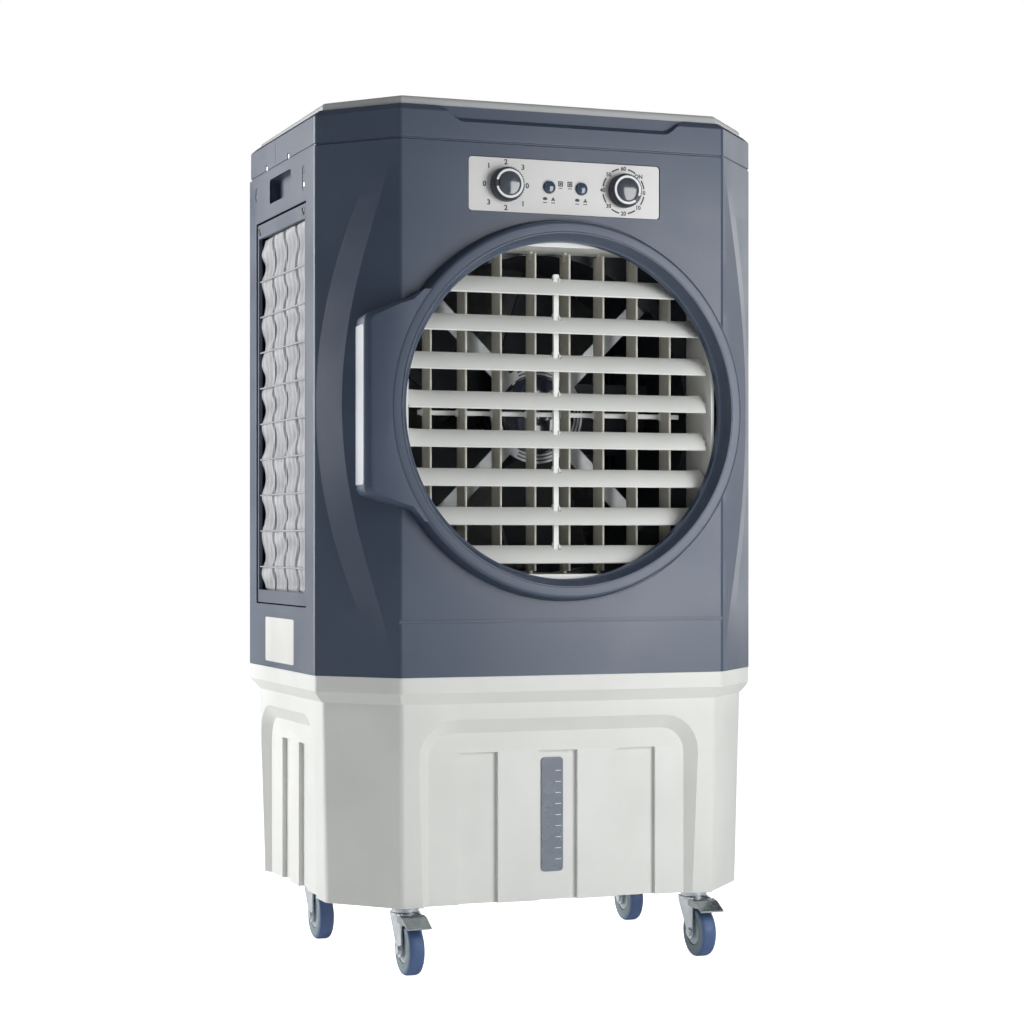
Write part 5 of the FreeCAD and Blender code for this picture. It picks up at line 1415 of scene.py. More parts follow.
@dataclass
class Controls:
    """Light control plate with printed scales, two knobs and two domed buttons."""
    width: float = 0.303
    height: float = 0.079
    rise: float = 0.329
    recess: float = 0.0008
    wall: float = 0.003
    knob_spread: float = 0.0935
    button_spread: float = 0.0256
    button_radius: float = 0.009
    knob_radius: float = 0.025
    knob_length: float = 0.017
    knob_ribs: int = 40
    cap_radius: float = 0.0170
    stem: float = 0.003
    icon_radius: float = 0.0031
    mark_radius: float = 0.0335
    mark_half: float = 0.0011
    text_height: float = 0.0105
    ink: float = 0.00012
    boldness: float = 0.034

    def build(self) -> None:
        """Make the plate, its print, the knobs and the buttons."""
        self.dial = AXIS + self.rise
        self.face = FRONT + self.recess
        self.make_plate()
        self.make_print()
        for side, knob, gap, button in ((-1, "speed_knob", 270.0, "pump_button"),
                                        (1, "timer_knob", 128.0, "swing_button")):
            self.make_knob(knob, side * self.knob_spread, gap)
            self.make_button(button, side * self.button_spread)

    def make_plate(self) -> None:
        """Rounded plate with a bevelled edge and its holes."""
        half_width, half_height = self.width / 2, self.height / 2
        outline = rounded_box((-half_width, self.dial - half_height), (half_width, self.dial + half_height), 0.0052, 6)
        holes = [turned("hole", (side * across, self.face, self.dial), "y", [(-0.01, radius), (0.01, radius)], 48)
                 for across, radius in ((self.knob_spread, 0.00305), (self.button_spread, 0.0093)) for side in (-1, 1)]
        plate = subtract(prism("control_plate", outline, self.face, FRONT + self.wall), holes)
        dress(settle(plate, 0.0005, 3), "control_fascia", "fascia_plastic")

    def word_into(self, bm: BMesh, word: str, centre: float, reach: float, turn: float, size: float) -> None:
        """Add a printed word on a dial.

        Args:
            bm: Mesh to add it to.
            word: The word.
            centre: The dial's middle, across.
            reach: Distance from the dial's middle.
            turn: Its place in degrees, clockwise from the top.
            size: Height of the letters.
        """
        curve = bpy.data.curves.new("word", "FONT")
        curve.body, curve.size = word, size
        curve.align_x, curve.align_y = "CENTER", "CENTER"
        curve.extrude, curve.offset = self.ink / 2, size * self.boldness
        curve.resolution_u = 4
        text = make_object("word", curve)
        mesh = bpy.data.meshes.new_from_object(text.evaluated_get(bpy.context.evaluated_depsgraph_get()))
        across = centre + reach * math.sin(math.radians(turn))
        up = self.dial + reach * math.cos(math.radians(turn))
        mesh.transform(Matrix(((1, 0, 0, across), (0, 0, -1, self.face - self.ink / 2), (0, 1, 0, up), (0, 0, 0, 1))))
        bm.from_mesh(mesh)
        bpy.data.objects.remove(text)

    def make_print(self) -> None:
        """Print both scales and the plain square icons."""
        bm = bmesh.new()
        for at, word in enumerate(Dial.SPEED.value):
            reach = self.mark_radius * (1.13 if at % 2 else 1.0)
            self.word_into(bm, word, -self.knob_spread, reach, 45.0 * at, self.text_height)
        for turn, word in zip((0.0, 47.0, 92.0, 135.0, 180.0, 226.0, 270.0, 315.0), Dial.TIMER.value):
            self.word_into(bm, word, self.knob_spread, self.mark_radius, turn, self.text_height * 0.8)
        radii = (self.mark_radius - self.mark_half, self.mark_radius + self.mark_half)
        for turns in ((13, 35), (59, 82), (101, 124), (146, 168), (192, 215), (237, 260), (280, 304), (326, 347)):
            arc_into(bm, (self.knob_spread, self.dial), radii, turns, (self.face - self.ink, self.face + self.ink))
        for side in (-1, 1):
            self.square_into(bm, side * 0.0074, self.dial + 0.0058, 0.0039)
            self.bars_into(bm, side * 0.0074, self.dial - 0.0008)
            for shift, lobes in ((-0.0064, 1), (0.0064, 3)):
                across = side * self.button_spread + shift
                self.lobes_into(bm, across, self.dial - 0.0178, lobes)
                self.bars_into(bm, across, self.dial - 0.0228)
        place_piece(make_object("dial_print", mesh_from("dial_print", bm)), "cabinet", "dark_plastic", (), "print_ink")

    def flat_into(self, bm: BMesh, outline: Sequence[Flat], ink: float) -> None:
        """Add a filled printed shape."""
        bm.from_mesh(prism_mesh("shape", outline, self.face - ink, self.face + ink))

    def bars_into(self, bm: BMesh, across: float, up: float) -> None:
        """Add a row of four short bars, as small print would look.

        Args:
            bm: Mesh to add them to.
            across: Middle of the row, across.
            up: Its height.
        """
        for number in range(4):
            low = across - 0.0031 + 0.0016 * number
            self.flat_into(bm, box_corners((low, up - 0.0007), (low + 0.0013, up + 0.0007)), self.ink)

    def lobes_into(self, bm: BMesh, across: float, up: float, lobes: int) -> None:
        """Add an icon: a flat dome for one lobe, or a small rotor for three.

        Args:
            bm: Mesh to add it to.
            across: Its middle, across.
            up: Its height.
            lobes: Number of lobes.
        """
        outline = []
        for turn in (2 * math.pi * step / 36 for step in range(36)):
            if lobes == 1:
                wide, tall = self.icon_radius * 1.2, self.icon_radius * (0.45 if math.sin(turn) < 0 else 1.0)
            else:
                wide = tall = 0.0024 + 0.0010 * math.cos(lobes * (turn - math.pi / 2))
            outline.append((across + wide * math.cos(turn), up + tall * math.sin(turn)))
        self.flat_into(bm, outline, self.ink)

    def square_into(self, bm: BMesh, across: float, up: float, half: float) -> None:
        """Add the outline of a small square icon with a block in it.

        Args:
            bm: Mesh to add it to.
            across: Its middle, across.
            up: Its height.
            half: Half of its width.
        """
        line = half * 0.42
        bare = half - line
        for low_x, high_x, low_z, high_z in ((-half, half, bare, half), (-half, half, -half, -bare),
                                             (-half, -bare, -bare, bare), (bare, half, -bare, bare),
                                             (-line, line, -line, line)):
            self.flat_into(bm, box_corners((across + low_x, up + low_z), (across + high_x, up + high_z)), self.ink / 2)

    def make_knob(self, node: str, across: float, gap: float) -> None:
        """Fluted knob with a glossy domed cap and a printed ring on its top face.

        Args:
            node: Its CAD node.
            across: Its place.
            gap: Place of the gap in the ring, in degrees clockwise from the top.
        """
        centre, radius = (across, 0.0, self.dial), self.knob_radius
        seat = self.face - 0.0003
        top = seat - self.knob_length
        profile = [(FRONT + 0.0255, 0.0), (FRONT + 0.0255, self.stem), (seat, self.stem), (seat, 0.0235),
                   (seat - 0.0012, radius), (top + 0.0045, radius - 0.0008), (top + 0.0022, radius - 0.0016),
                   (top + 0.0006, 0.0226), (top, 0.0215), (top, 0.0180), (top + 0.0006, 0.0174), (top + 0.0006, 0.0)]
        dress(smooth(turned(node, centre, "y", profile, 120), 36.0), node, "knob_plastic")
        places = round_places((across, seat - self.knob_length * 0.45, self.dial), radius - 0.0009, self.knob_ribs)
        rib = prism_mesh(f"{node}_rib", rounded_box((-0.0006, -0.0050), (0.0006, 0.0050), 0.0005, 3), 0.0, 0.0011, "z")
        spread(f"{node}_ribs", rib, places, body_of(node), slot_of(node), (), "knob_plastic")
        cap = [(top + 0.0010, 0.0), (top + 0.0010, self.cap_radius - 0.0002), (top - 0.0014, self.cap_radius)]
        cap += [(top - 0.0014 - 0.0026 * math.sin(turn), self.cap_radius * math.cos(turn))
                for turn in quarter(8)[1:-1]]
        dome = turned(f"{node}_cap", centre, "y", cap + [(top - 0.0040, 0.0)], 72)
        dress(smooth(dome, 40.0), node, "cap_gloss", False)
        bm = bmesh.new()
        arc_into(bm, (across, self.dial), (0.0179, 0.0213), (gap + 14, gap + 346), (top - 0.00015, top + 0.0002))
        dress(make_object(f"{node}_ring", mesh_from(f"{node}_ring", bm)), node, "print_white", False)

    def make_button(self, node: str, across: float) -> None:
        """Glossy domed button on its stem, in a thin collar.

        Args:
            node: Its CAD node.
            across: Its place.
        """
        centre, radius = (across, 0.0, self.dial), self.button_radius
        profile = [(FRONT - 0.005 + 0.0031 * (1 - math.cos(turn)), radius * math.sin(turn)) for turn in quarter(8)]
        profile += [(FRONT - 0.0003, radius), (FRONT - 0.0003, self.stem), (FRONT + 0.0174, self.stem),
                    (FRONT + 0.0174, 0.0)]
        dress(smooth(turned(node, centre, "y", profile), 40.0), node, "button_gloss")
        section = [(self.face - 0.0006, 0.0101), (self.face - 0.0006, 0.0110), (self.face + 0.0004, 0.0113),
                   (self.face + 0.0004, 0.0100)]
        dress(smooth(turned(f"{node}_collar", centre, "y", section, loop=True)), "control_fascia", "", False)


@dataclass
class Louvre:
    """Frame, tilting blades and swinging vanes, each set with its link."""
    blade_half: float = 0.237
    blade_place: float = 0.030
    blade_first: float = 0.1784
    blade_pitch: float = 0.0569
    blade_tilt: float = 45.0
    chord: float = 0.036
    camber: float = 0.0025
    thickness: float = 0.003
    count: int = 8
    vane_place: float = 0.072
    vane_pitch: float = 0.055
    vane_chord: float = 0.040
    vane_reach: float = 0.238
    vane_bead: float = 0.0010
    link_rise: float = 0.395
    link_drop: float = 0.006
    arm: float = 0.014

    def build(self) -> None:
        """Make the frame, the blades, the vanes and the links."""
        soften("louvre_frame", 0.0012)
        blade = self.blade_mesh()
        turn = Matrix.Rotation(math.radians(self.blade_tilt), 4, "X")
        for number, height in enumerate(self.heights(), 1):
            self.copy_out(blade, f"blade_{number}", Matrix.Translation((0.0, FRONT + self.blade_place, height)) @ turn)
        vane = self.vane_mesh()
        for number, across in enumerate(self.spots(), 1):
            place = Matrix.Translation((across, FRONT + self.vane_place, AXIS))
            self.copy_out(vane, f"vane_{number}", place, "vane_plastic")
        self.make_links()

    def heights(self) -> list[float]:
        """Heights of the blades' pivots."""
        return [TANK_TOP + self.blade_first + self.blade_pitch * number for number in range(self.count)]

    def spots(self) -> list[float]:
        """Places of the vanes' pivots, from left to right."""
        return [(number - (self.count - 1) / 2) * self.vane_pitch for number in range(self.count)]

    def copy_out(self, mesh: Mesh, node: str, place: Matrix, finish: str = "") -> None:
        """Set a copy of a mesh at its own place as the stand-in for a node.

        Args:
            mesh: The mesh.
            node: The CAD node.
            place: The place.
            finish: Name of the finish, or none for the slot's own.
        """
        own = mesh.copy()
        own.transform(place)
        dress(smooth(make_object(f"{node}_shaped", own), 38.0), node, finish)

    def pin(self, low: float, high: float, radius: float, centre: Point, axis: str) -> Mesh:
        """Pin along an axis, with chamfered ends.

        Args:
            low: Start of the pin on the axis.
            high: End of the pin.
            radius: Its radius.
            centre: A point on its axis.
            axis: The axis.

        Returns:
            The pin's mesh.
        """
        profile = [(low, 0.0), (low, radius * 0.8), (low + 0.0005, radius), (high - 0.0005, radius),
                   (high, radius * 0.8), (high, 0.0)]
        return turned_mesh("pin", centre, axis, profile, 24)

    def blade_mesh(self) -> Mesh:
        """Cambered blade with a rolled front lip, raised ends, pivots, notch and link pin, about its pivot line.

        Returns:
            The blade's mesh, level.
        """
        half_chord = self.chord / 2
        steps = 12
        upper, lower = [], []
        for share in (step / steps * 2 - 1 for step in range(steps + 1)):
            middle = self.camber * (1 - share ** 2)
            half = self.thickness / 2 * (1 - 0.55 * abs(share) ** 3)
            lip = 0.0016 * math.exp(-((share + 0.93) / 0.09) ** 2)
            upper.append((share * half_chord, middle + half))
            lower.append((share * half_chord, middle - half - lip))
        stations = [(-self.blade_half, 0.0006, 0.0022), (-self.blade_half + 0.0005, 0.0, 0.0021)]
        stations += [(-self.blade_half + reach, 0.0, 0.0022 * (1 - reach / 0.03) ** 2)
                     for reach in (0.006, 0.013, 0.021, 0.03)]
        stations += [(-place, inset, lift) for place, inset, lift in reversed(stations)]
        rings = []
        for across, inset, lift in stations:
            shrink = 1 - inset / half_chord
            rings.append([(across, depth * shrink, up * (1 - inset * 300) + lift * (0.5 + 0.5 * depth / half_chord))
                          for depth, up in upper + lower[::-1]])
        notch = prism("notch", box_corners((-0.006, 0.006), (0.006, 0.030)), -0.02, 0.02, "z")
        blade = settle(subtract(loft("blade_source", rings), [notch]), 0.0003, 2, 50.0)
        root, tip = self.blade_half - self.chord / 3, self.blade_half + 0.0085
        return joined("blade_source", [blade, self.pin(-tip, -root, 0.003, ORIGIN, "x"),
                                       self.pin(root, tip, 0.003, ORIGIN, "x"),
                                       self.pin(-0.008, 0.008, 0.0015, (0.0, self.arm, self.camber * 0.3), "x")])

    def vane_mesh(self) -> Mesh:
        """Upright vane with rounded edges, pivots, notch and link pin, about its pivot line.

        Returns:
            The vane's mesh.
        """
        half, reach = self.vane_chord / 2, self.vane_reach
        section = []
        for share in (-1.0, -0.985, -0.96, -0.93, -0.90, -0.86, -0.80, -0.5, 0.0, 0.5, 0.8, 0.95, 1.0):
            bead = self.vane_bead * math.exp(-((share + 0.93) / 0.055) ** 2)
            section.append((0.0003 + 0.0012 * math.sqrt(max(0.0, 1 - share ** 4)) + bead, share * half))
        levels = [(-reach, 0.6), (-reach + 0.0006, 1.0), (reach - 0.0006, 1.0), (reach, 0.6)]
        rings = [[(across * thin, along, up) for across, along in mirrored(section)] for up, thin in levels]
        link = TANK_TOP + self.link_rise - self.link_drop - AXIS
        notch = prism("notch", box_corners((-0.006, 0.012), (0.006, 0.030)), link - 0.006, link + 0.006, "z")
        pins = [self.pin(middle - length, middle + length, radius, (0.0, along, 0.0), "z")
                for middle, length, radius, along in ((-reach, 0.010, 0.003, 0.0), (reach, 0.010, 0.003, 0.0),
                                                      (link, 0.008, 0.0015, PIN_SETBACK))]
        return joined("vane_source", [subtract(loft("vane_source", rings), [notch])] + pins)

    def make_links(self) -> None:
        """Soften the blades' link, make the vanes' link and set a clip over each pin."""
        tilt = math.radians(self.blade_tilt)
        lift = self.arm * math.sin(tilt) + self.camber * 0.3 * math.cos(tilt)
        back = self.arm * math.cos(tilt) - self.camber * 0.3 * math.sin(tilt)
        soften("blade_link", 0.0008)
        self.make_vane_link()
        clip = turned_mesh("clip", ORIGIN, "z", [(0.0, 0.0017), (0.0, 0.0048), (0.0014, 0.0050), (0.0026, 0.0042),
                                                 (0.0026, 0.0017)], 24, True)
        parts = [settle(prism("hook", rounded_box((-0.0052, -0.0075), (0.0052, -0.0030), 0.0012, 3), -0.0035, 0.0015),
                        0.0006)]
        for side in (-1, 1):
            own = clip.copy()
            own.transform(Matrix.Translation((side * 0.0034, 0.0, 0.0)) @ Matrix.Rotation(side * math.pi / 2, 4, "Y"))
            parts.append(own)
        grip = joined("link_grip", parts)
        grip.transform(Matrix.Rotation(math.pi / 2, 4, "X"))
        places = [((0.0, FRONT + self.blade_place + back, height + lift), (0.0, -1.0, 0.0))
                  for height in self.heights()]
        spread("blade_link_clips", grip, places, body_of("blade_link"), slot_of("blade_link"))

    def make_vane_link(self) -> None:
        """Flat rod across the vanes with an eye round each vane's pin."""
        low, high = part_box("vane_link")
        level = TANK_TOP + self.link_rise - self.link_drop
        pin = FRONT + self.vane_place + PIN_SETBACK
        outline = rounded_box((pin - 0.0022, level - 0.0036), (pin + 0.0022, level + 0.0036), 0.0012, 3)
        dress(settle(prism("vane_link_rod", outline, low.x, high.x, "x"), 0.0006), "vane_link", "link_plastic")
        eye = turned_mesh("eye", ORIGIN, "z", tube(-0.0052, 0.0052, 0.0017, 0.0040), 24, True)
        places = [((across, pin, level), (0.0, 0.0, 1.0)) for across in self.spots()]
        spread("vane_link_eyes", eye, places, body_of("vane_link"), slot_of("vane_link"), (), "link_plastic")


@dataclass
class FanSet:
    """Duct, bracket with dark marks of painted shade for its slots, domed motor and twisted fan."""
    bracket_place: float = 0.118
    motor_nose: float = 0.008
    motor_length: float = 0.092
    motor_radius: float = 0.057
    boss: float = 0.020
    flange: float = 0.068
    shaft: float = 0.006
    shaft_length: float = 0.062
    vents: int = 24
    slot_half: float = 0.0012
    slot_turn: float = 27.0
    slot_radii: Flat = (0.0650, 0.0705)

    def build(self) -> None:
        """Dress every piece behind the louvre."""
        soften("fan_shroud", 0.0008)
        soften("motor_bracket", 0.0007)
        self.make_slot_shade()
        self.make_motor()
        soften("fan", 0.0008)
        soften("swing_motor", 0.0012)

    def make_slot_shade(self) -> None:
        """Two rows of dark curved marks round the bracket's ring, painted shade standing for its slots."""
        bm = bmesh.new()
        face = FRONT + self.bracket_place
        for middle in (0.0, 90.0, 180.0, 270.0):
            for radius in self.slot_radii:
                arc_into(bm, (0.0, AXIS), (radius - self.slot_half, radius + self.slot_half),
                         (middle - self.slot_turn, middle + self.slot_turn), (face - 0.0002, face + 0.0004))
        # Painted shade: raised dark arcs stand for the shade seen through the bracket's slots.
        slot_shade = make_object("bracket_slots", mesh_from("bracket_slots", bm))
        place_piece(slot_shade, body_of("motor_bracket"), "dark_plastic")

    def make_motor(self) -> None:
        """Glossy motor: domed front with a raised boss, flange, and a row of dark marks round its shell, painted shade
        standing for vent slots.
        """
        bracket, radius = FRONT + self.bracket_place, self.motor_radius
        nose = bracket - self.motor_nose
        tail = nose + self.motor_length
        end = tail + self.shaft_length
        profile = [(nose, 0.0), (nose, 0.010), (nose + 0.0012, 0.012), (nose + 0.0014, self.boss)]
        profile += [(nose + 0.0014 + 0.0066 * (1 - math.cos(turn)), self.boss + (radius - self.boss) * math.sin(turn))
                    for turn in quarter(8)[1:]]
        profile += tube(bracket + 0.003, bracket + 0.006, radius, self.flange)
        profile += [(tail - 0.006, radius), (tail, 0.049), (tail, self.shaft), (end, self.shaft), (end, 0.0)]
        motor = turned("fan_motor_shaped", (0.0, 0.0, AXIS), "y", profile, 96)
        dress(smooth(motor, 34.0), "fan_motor", "motor_gloss")
        # Painted shade: dark raised marks stand for the shade inside the motor's vent slots.
        slot = prism_mesh("vent", rounded_box((-0.0016, -0.010), (0.0016, 0.010), 0.0015, 3), -0.001, 0.0006, "z")
        places = round_places((0.0, tail - 0.030, AXIS), radius, self.vents)
        spread("motor_vents", slot, places, body_of("fan_motor"), "dark_plastic")


@dataclass
class Pads:
    """Folded fibre pads, their wire frames and latches."""
    columns: int = 4
    rear_columns: int = 8
    row: float = 0.057
    wave: float = 0.0028
    fold: float = 0.0006
    fold_pitch: float = 0.023
    gap: float = 0.010
    rise: float = 0.0030
    sink: float = 0.002
    side_strip: float = 0.006
    foot_strip: float = 0.020
    top_strip: float = 0.022
    wire: float = 0.0013
    wire_inset: float = 0.0030
    post_drop: float = 0.007
    first_row: float = 0.0565
    last_row: float = 0.0905
    rows: int = 9
    mesh_step: Flat = (0.0026, 0.0042)
    latch_drop: float = 0.011
    latch_inset: float = 0.014
    latch_turn: float = 40.0

    def build(self) -> None:
        """Make the three pads, then the two side frames."""
        self.make_pad("cooling_pad_left", 0.0, self.columns)
        self.make_pad("cooling_pad_right", 180.0, self.columns)
        self.make_pad("cooling_pad_rear", 90.0, self.rear_columns)
        self.make_frame("pad_frame_left")
        self.make_frame("pad_frame_right")

    def fold_tree(self, name: str, size: Vector, counts: tuple[int, int], columns: int, opening: Point) -> NodeTree:
        """Block of fibre whose -X face stands out in wavy upright columns with sunken gaps between them, which the
        fibre finish darkens with painted shade.

        Args:
            name: Name of the tree.
            size: Thickness, width and height of the block.
            counts: Vertices across and up.
            columns: Number of columns.
            opening: Width, height and middle height of the opening that the folds stand in.

        Returns:
            The tree; its block is centred on the origin.
        """
        tree = NodeTree(name, Size=size, Across=counts[0], Up=counts[1], Columns=float(columns), Row=self.row,
                        Wave=self.wave, Fold=self.fold, Pitch=self.fold_pitch, Gap=self.gap, Rise=self.rise,
                        Width=opening[0], Height=opening[1], Middle=opening[2], Finish=PALETTE.get("pad_fibre"))
        given, calc = tree.input, tree.math
        cube = tree.add("GeometryNodeMeshCube", {"Size": given("Size"), "Vertices X": 2,
                                                 "Vertices Y": given("Across"), "Vertices Z": given("Up")})
        place = tree.add("ShaderNodeSeparateXYZ", {0: tree.add("GeometryNodeInputPosition").outputs["Position"]})
        across, up = place.outputs["Y"], place.outputs["Z"]
        along = calc("DIVIDE", across, given("Width"))
        share = calc("MULTIPLY", calc("ADD", along, 0.5), given("Columns"))
        away = calc("ABSOLUTE", calc("SUBTRACT", calc("FRACT", share), 0.5))
        last = calc("SUBTRACT", given("Columns"), 0.5)
        between = calc("MULTIPLY", calc("GREATER_THAN", share, 0.5), calc("LESS_THAN", share, last))
        full = tree.add("ShaderNodeMapRange", {
            "Value": calc("MULTIPLY", away, between), "From Min": 0.480, "From Max": 0.385},
            interpolation_type="SMOOTHSTEP").outputs["Result"]
        rise = calc("DIVIDE", calc("SUBTRACT", up, given("Middle")), given("Height"))
        inside = calc("MULTIPLY", calc("LESS_THAN", calc("ABSOLUTE", along), 0.5),
                      calc("LESS_THAN", calc("ABSOLUTE", rise), 0.5))
        slow = tree.add("ShaderNodeTexNoise", {"Scale": 11.0, "Detail": 1.0}).outputs["Fac"]
        level = calc("ADD", calc("MULTIPLY", calc("DIVIDE", up, given("Row")), 2 * math.pi),
                     calc("ADD", calc("MULTIPLY", slow, 5.0), calc("MULTIPLY", share, 0.4)))
        wave = calc("MULTIPLY", calc("SINE", level), given("Wave"))
        turn = calc("ADD", calc("MULTIPLY", calc("DIVIDE", across, given("Pitch")), 2 * math.pi),
                    calc("MULTIPLY", calc("SINE", level), 1.4))
        fold = calc("MULTIPLY", calc("SINE", turn), given("Fold"))
        fine = tree.add("ShaderNodeTexNoise", {"Scale": 160.0, "Detail": 3.0}).outputs["Fac"]
        dent = calc("ADD", calc("ADD", given("Wave"), given("Fold")),
                    calc("SUBTRACT", calc("MULTIPLY", fine, 0.0012), calc("ADD", wave, fold)))
        stand = calc("MULTIPLY", calc("MULTIPLY", full, inside),
                     calc("SUBTRACT", calc("ADD", given("Gap"), given("Rise")), dent))
        moved = tree.add("ShaderNodeCombineXYZ", {"X": calc("SUBTRACT", given("Gap"), stand)})
        front = tree.add("FunctionNodeCompare", {"A": place.outputs["X"], "B": 0.0}, data_type="FLOAT",
                         operation="LESS_THAN")
        shaped = tree.add("GeometryNodeSetPosition", {
            "Geometry": cube.outputs["Mesh"], "Selection": front.outputs["Result"], "Offset": moved.outputs["Vector"]})
        tree.finish(shaped.outputs["Geometry"])
        return tree

    def make_pad(self, node: str, turn: float, columns: int) -> None:
        """One pad, folded on its outward face.

        Args:
            node: The pad's CAD node.
            turn: Turn of its outward face from the left, in degrees.
            columns: Number of columns.
        """
        low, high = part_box(node)
        size = high - low
        if abs(turn) == 90.0:
            size = Vector((size.y, size.x, size.z))
        counts = (int(size.y / self.mesh_step[0]), int(size.z / self.mesh_step[1]))
        frame_low, frame_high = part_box("pad_frame_left")
        foot, top = frame_low.z + self.foot_strip + 0.001, frame_high.z - self.top_strip - 0.001
        width = frame_high.y - frame_low.y - 2 * self.side_strip - 0.001
        if abs(turn) == 90.0:
            foot, top, width = frame_low.z + 0.004, frame_high.z - 0.004, size.y - 0.006
        opening = (width, top - foot, (foot + top) / 2 - (low.z + high.z) / 2)
        pad = self.fold_tree(f"{node}_tree", size, counts, columns, opening).run(f"{node}_fibre")
        pad.data.transform(Matrix.Translation((low + high) / 2) @ Matrix.Rotation(math.radians(-turn), 4, "Z"))
        dress(smooth(pad, 180.0), node)

    def make_frame(self, node: str) -> None:
        """Thin frame with a dark strip on its front edge as painted shade of the gap there, a welded wire grid and two
        latches.

        Args:
            node: The frame's CAD node.
        """
        low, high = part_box(node)
        left = low.x < 0
        inward = 1.0 if left else -1.0
        outside = (low.x if left else high.x) + inward * self.sink
        span = (outside, high.x) if left else (low.x, outside)
        opening = rounded_box((low.y + self.side_strip, low.z + self.foot_strip),
                              (high.y - self.side_strip, high.z - self.top_strip), 0.002)
        rim = rounded_box((low.y, low.z), (high.y, high.z), 0.002)
        dress(window_frame(f"{node}_rim", "x", rim, opening, span, 0.0009), node)
        # Painted shade: a dark strip along the frame's front edge stands for the shadow in the gap before the frame.
        edge = rounded_box((min(span) + 0.0005, low.y - 0.0010), (max(span) - 0.0005, low.y + 0.0002), 0.0004)
        shadow_strip = prism(f"{node}_seal", edge, low.z + 0.002, high.z - 0.002, "z")
        place_piece(settle(shadow_strip, 0.0002), body_of(node), "dark_plastic")
        across = outside + inward * self.wire_inset
        post = across + inward * self.post_drop
        pitch = (high.z - low.z - self.first_row - self.last_row) / (self.rows - 1)
        lines = []
        for up in (low.z + self.first_row + number * pitch for number in range(self.rows)):
            lines.append(((across, low.y + 0.003, up), (across, high.y - 0.003, up)))
        for along in (low.y + (high.y - low.y) * number / self.columns for number in range(1, self.columns)):
            lines.append(((post, along, low.z + 0.010), (post, along, high.z - 0.010)))
        wire_grid(f"{node}_wires", lines, self.wire, body_of(node))
        disc = turned_mesh("latch", ORIGIN, "z", [(-0.0006, 0.0), (-0.0006, 0.0068), (0.0003, 0.0068),
                                                  (0.0007, 0.0062), (0.0008, 0.0)], 32)
        bar = prism("latch_bar", rounded_box((-0.0064, -0.0017), (0.0064, 0.0017), 0.0015, 4), 0.0, 0.0021, "z")
        settle(bar, 0.0004).data.transform(Matrix.Rotation(math.radians(self.latch_turn), 4, "Z"))
        places = [((outside, along, high.z - self.latch_drop), (-inward, 0.0, 0.0))
                  for along in (low.y + self.latch_inset, high.y - self.latch_inset)]
        spread(f"{node}_latches", joined("latch", [disc, bar]), places, body_of(node), "dark_plastic")


@dataclass
class Castors:
    """Swivel forks, wheels with blue tyres and light cores, and brake pedals."""
    wheel: float = 0.0375
    tyre_half: float = 0.0125
    rim: float = 0.027
    rim_half: float = 0.0115

    def build(self) -> None:
        """Dress the plates, the forks, the wheels and the pedals."""
        soften("castor_plates", 0.0006)
        for row in frame["record"]["subparts"]:
            node = row["node"]
            if node.startswith("castor_fork"):
                soften(node, 0.0006)
            elif node.startswith("brake_pedal"):
                soften(node, 0.0005)
            elif node.startswith("castor_wheel"):
                self.make_wheel(node)

    def make_wheel(self, node: str) -> None:
        """Tyre, dished core and the band between them, coloured dark as painted shade of the groove beside the core.

        Args:
            node: The wheel's CAD node.
        """
        low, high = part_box(node)
        half, rim, wheel = self.tyre_half, self.rim, self.wheel
        tyre = [(self.rim_half, rim + 0.0004), (half - 0.0006, rim + 0.0012), (half, rim + 0.0026),
                (half - 0.0003, rim + 0.0060), (half - 0.0015, wheel - 0.0022), (half - 0.0035, wheel - 0.0007),
                (half - 0.0060, wheel)]
        core = [(0.0139, 0.00405), (0.0139, 0.0072), (0.0134, 0.0080), (0.0120, 0.0086), (0.0116, 0.0100),
                (0.0110, 0.0140), (0.0110, 0.0186), (0.0104, 0.0193), (0.0080, 0.0193)]
        # The band is a real ring; its dark finish paints the shade that falls in the groove between it and the core.
        band = [(0.0078, 0.0190), (0.0078, 0.0206), (0.0112, 0.0207), (0.0118, 0.0216), (0.0119, 0.0255),
                (self.rim_half, rim + 0.0006)]
        for part, section, crease, slot, nodes, finish in (
                ("tyre", tyre, 40.0, "tyre_blue", [node], ""),
                ("core", core, 34.0, "pale_plastic", (), "wheel_core"),
                ("band", band, 34.0, "dark_plastic", (), "wheel_band_shade")):
            piece = turned(f"{node}_{part}", tuple((low + high) / 2), "x", mirrored(section), 96, True)
            place_piece(smooth(piece, crease), body_of(node), slot, nodes, finish)


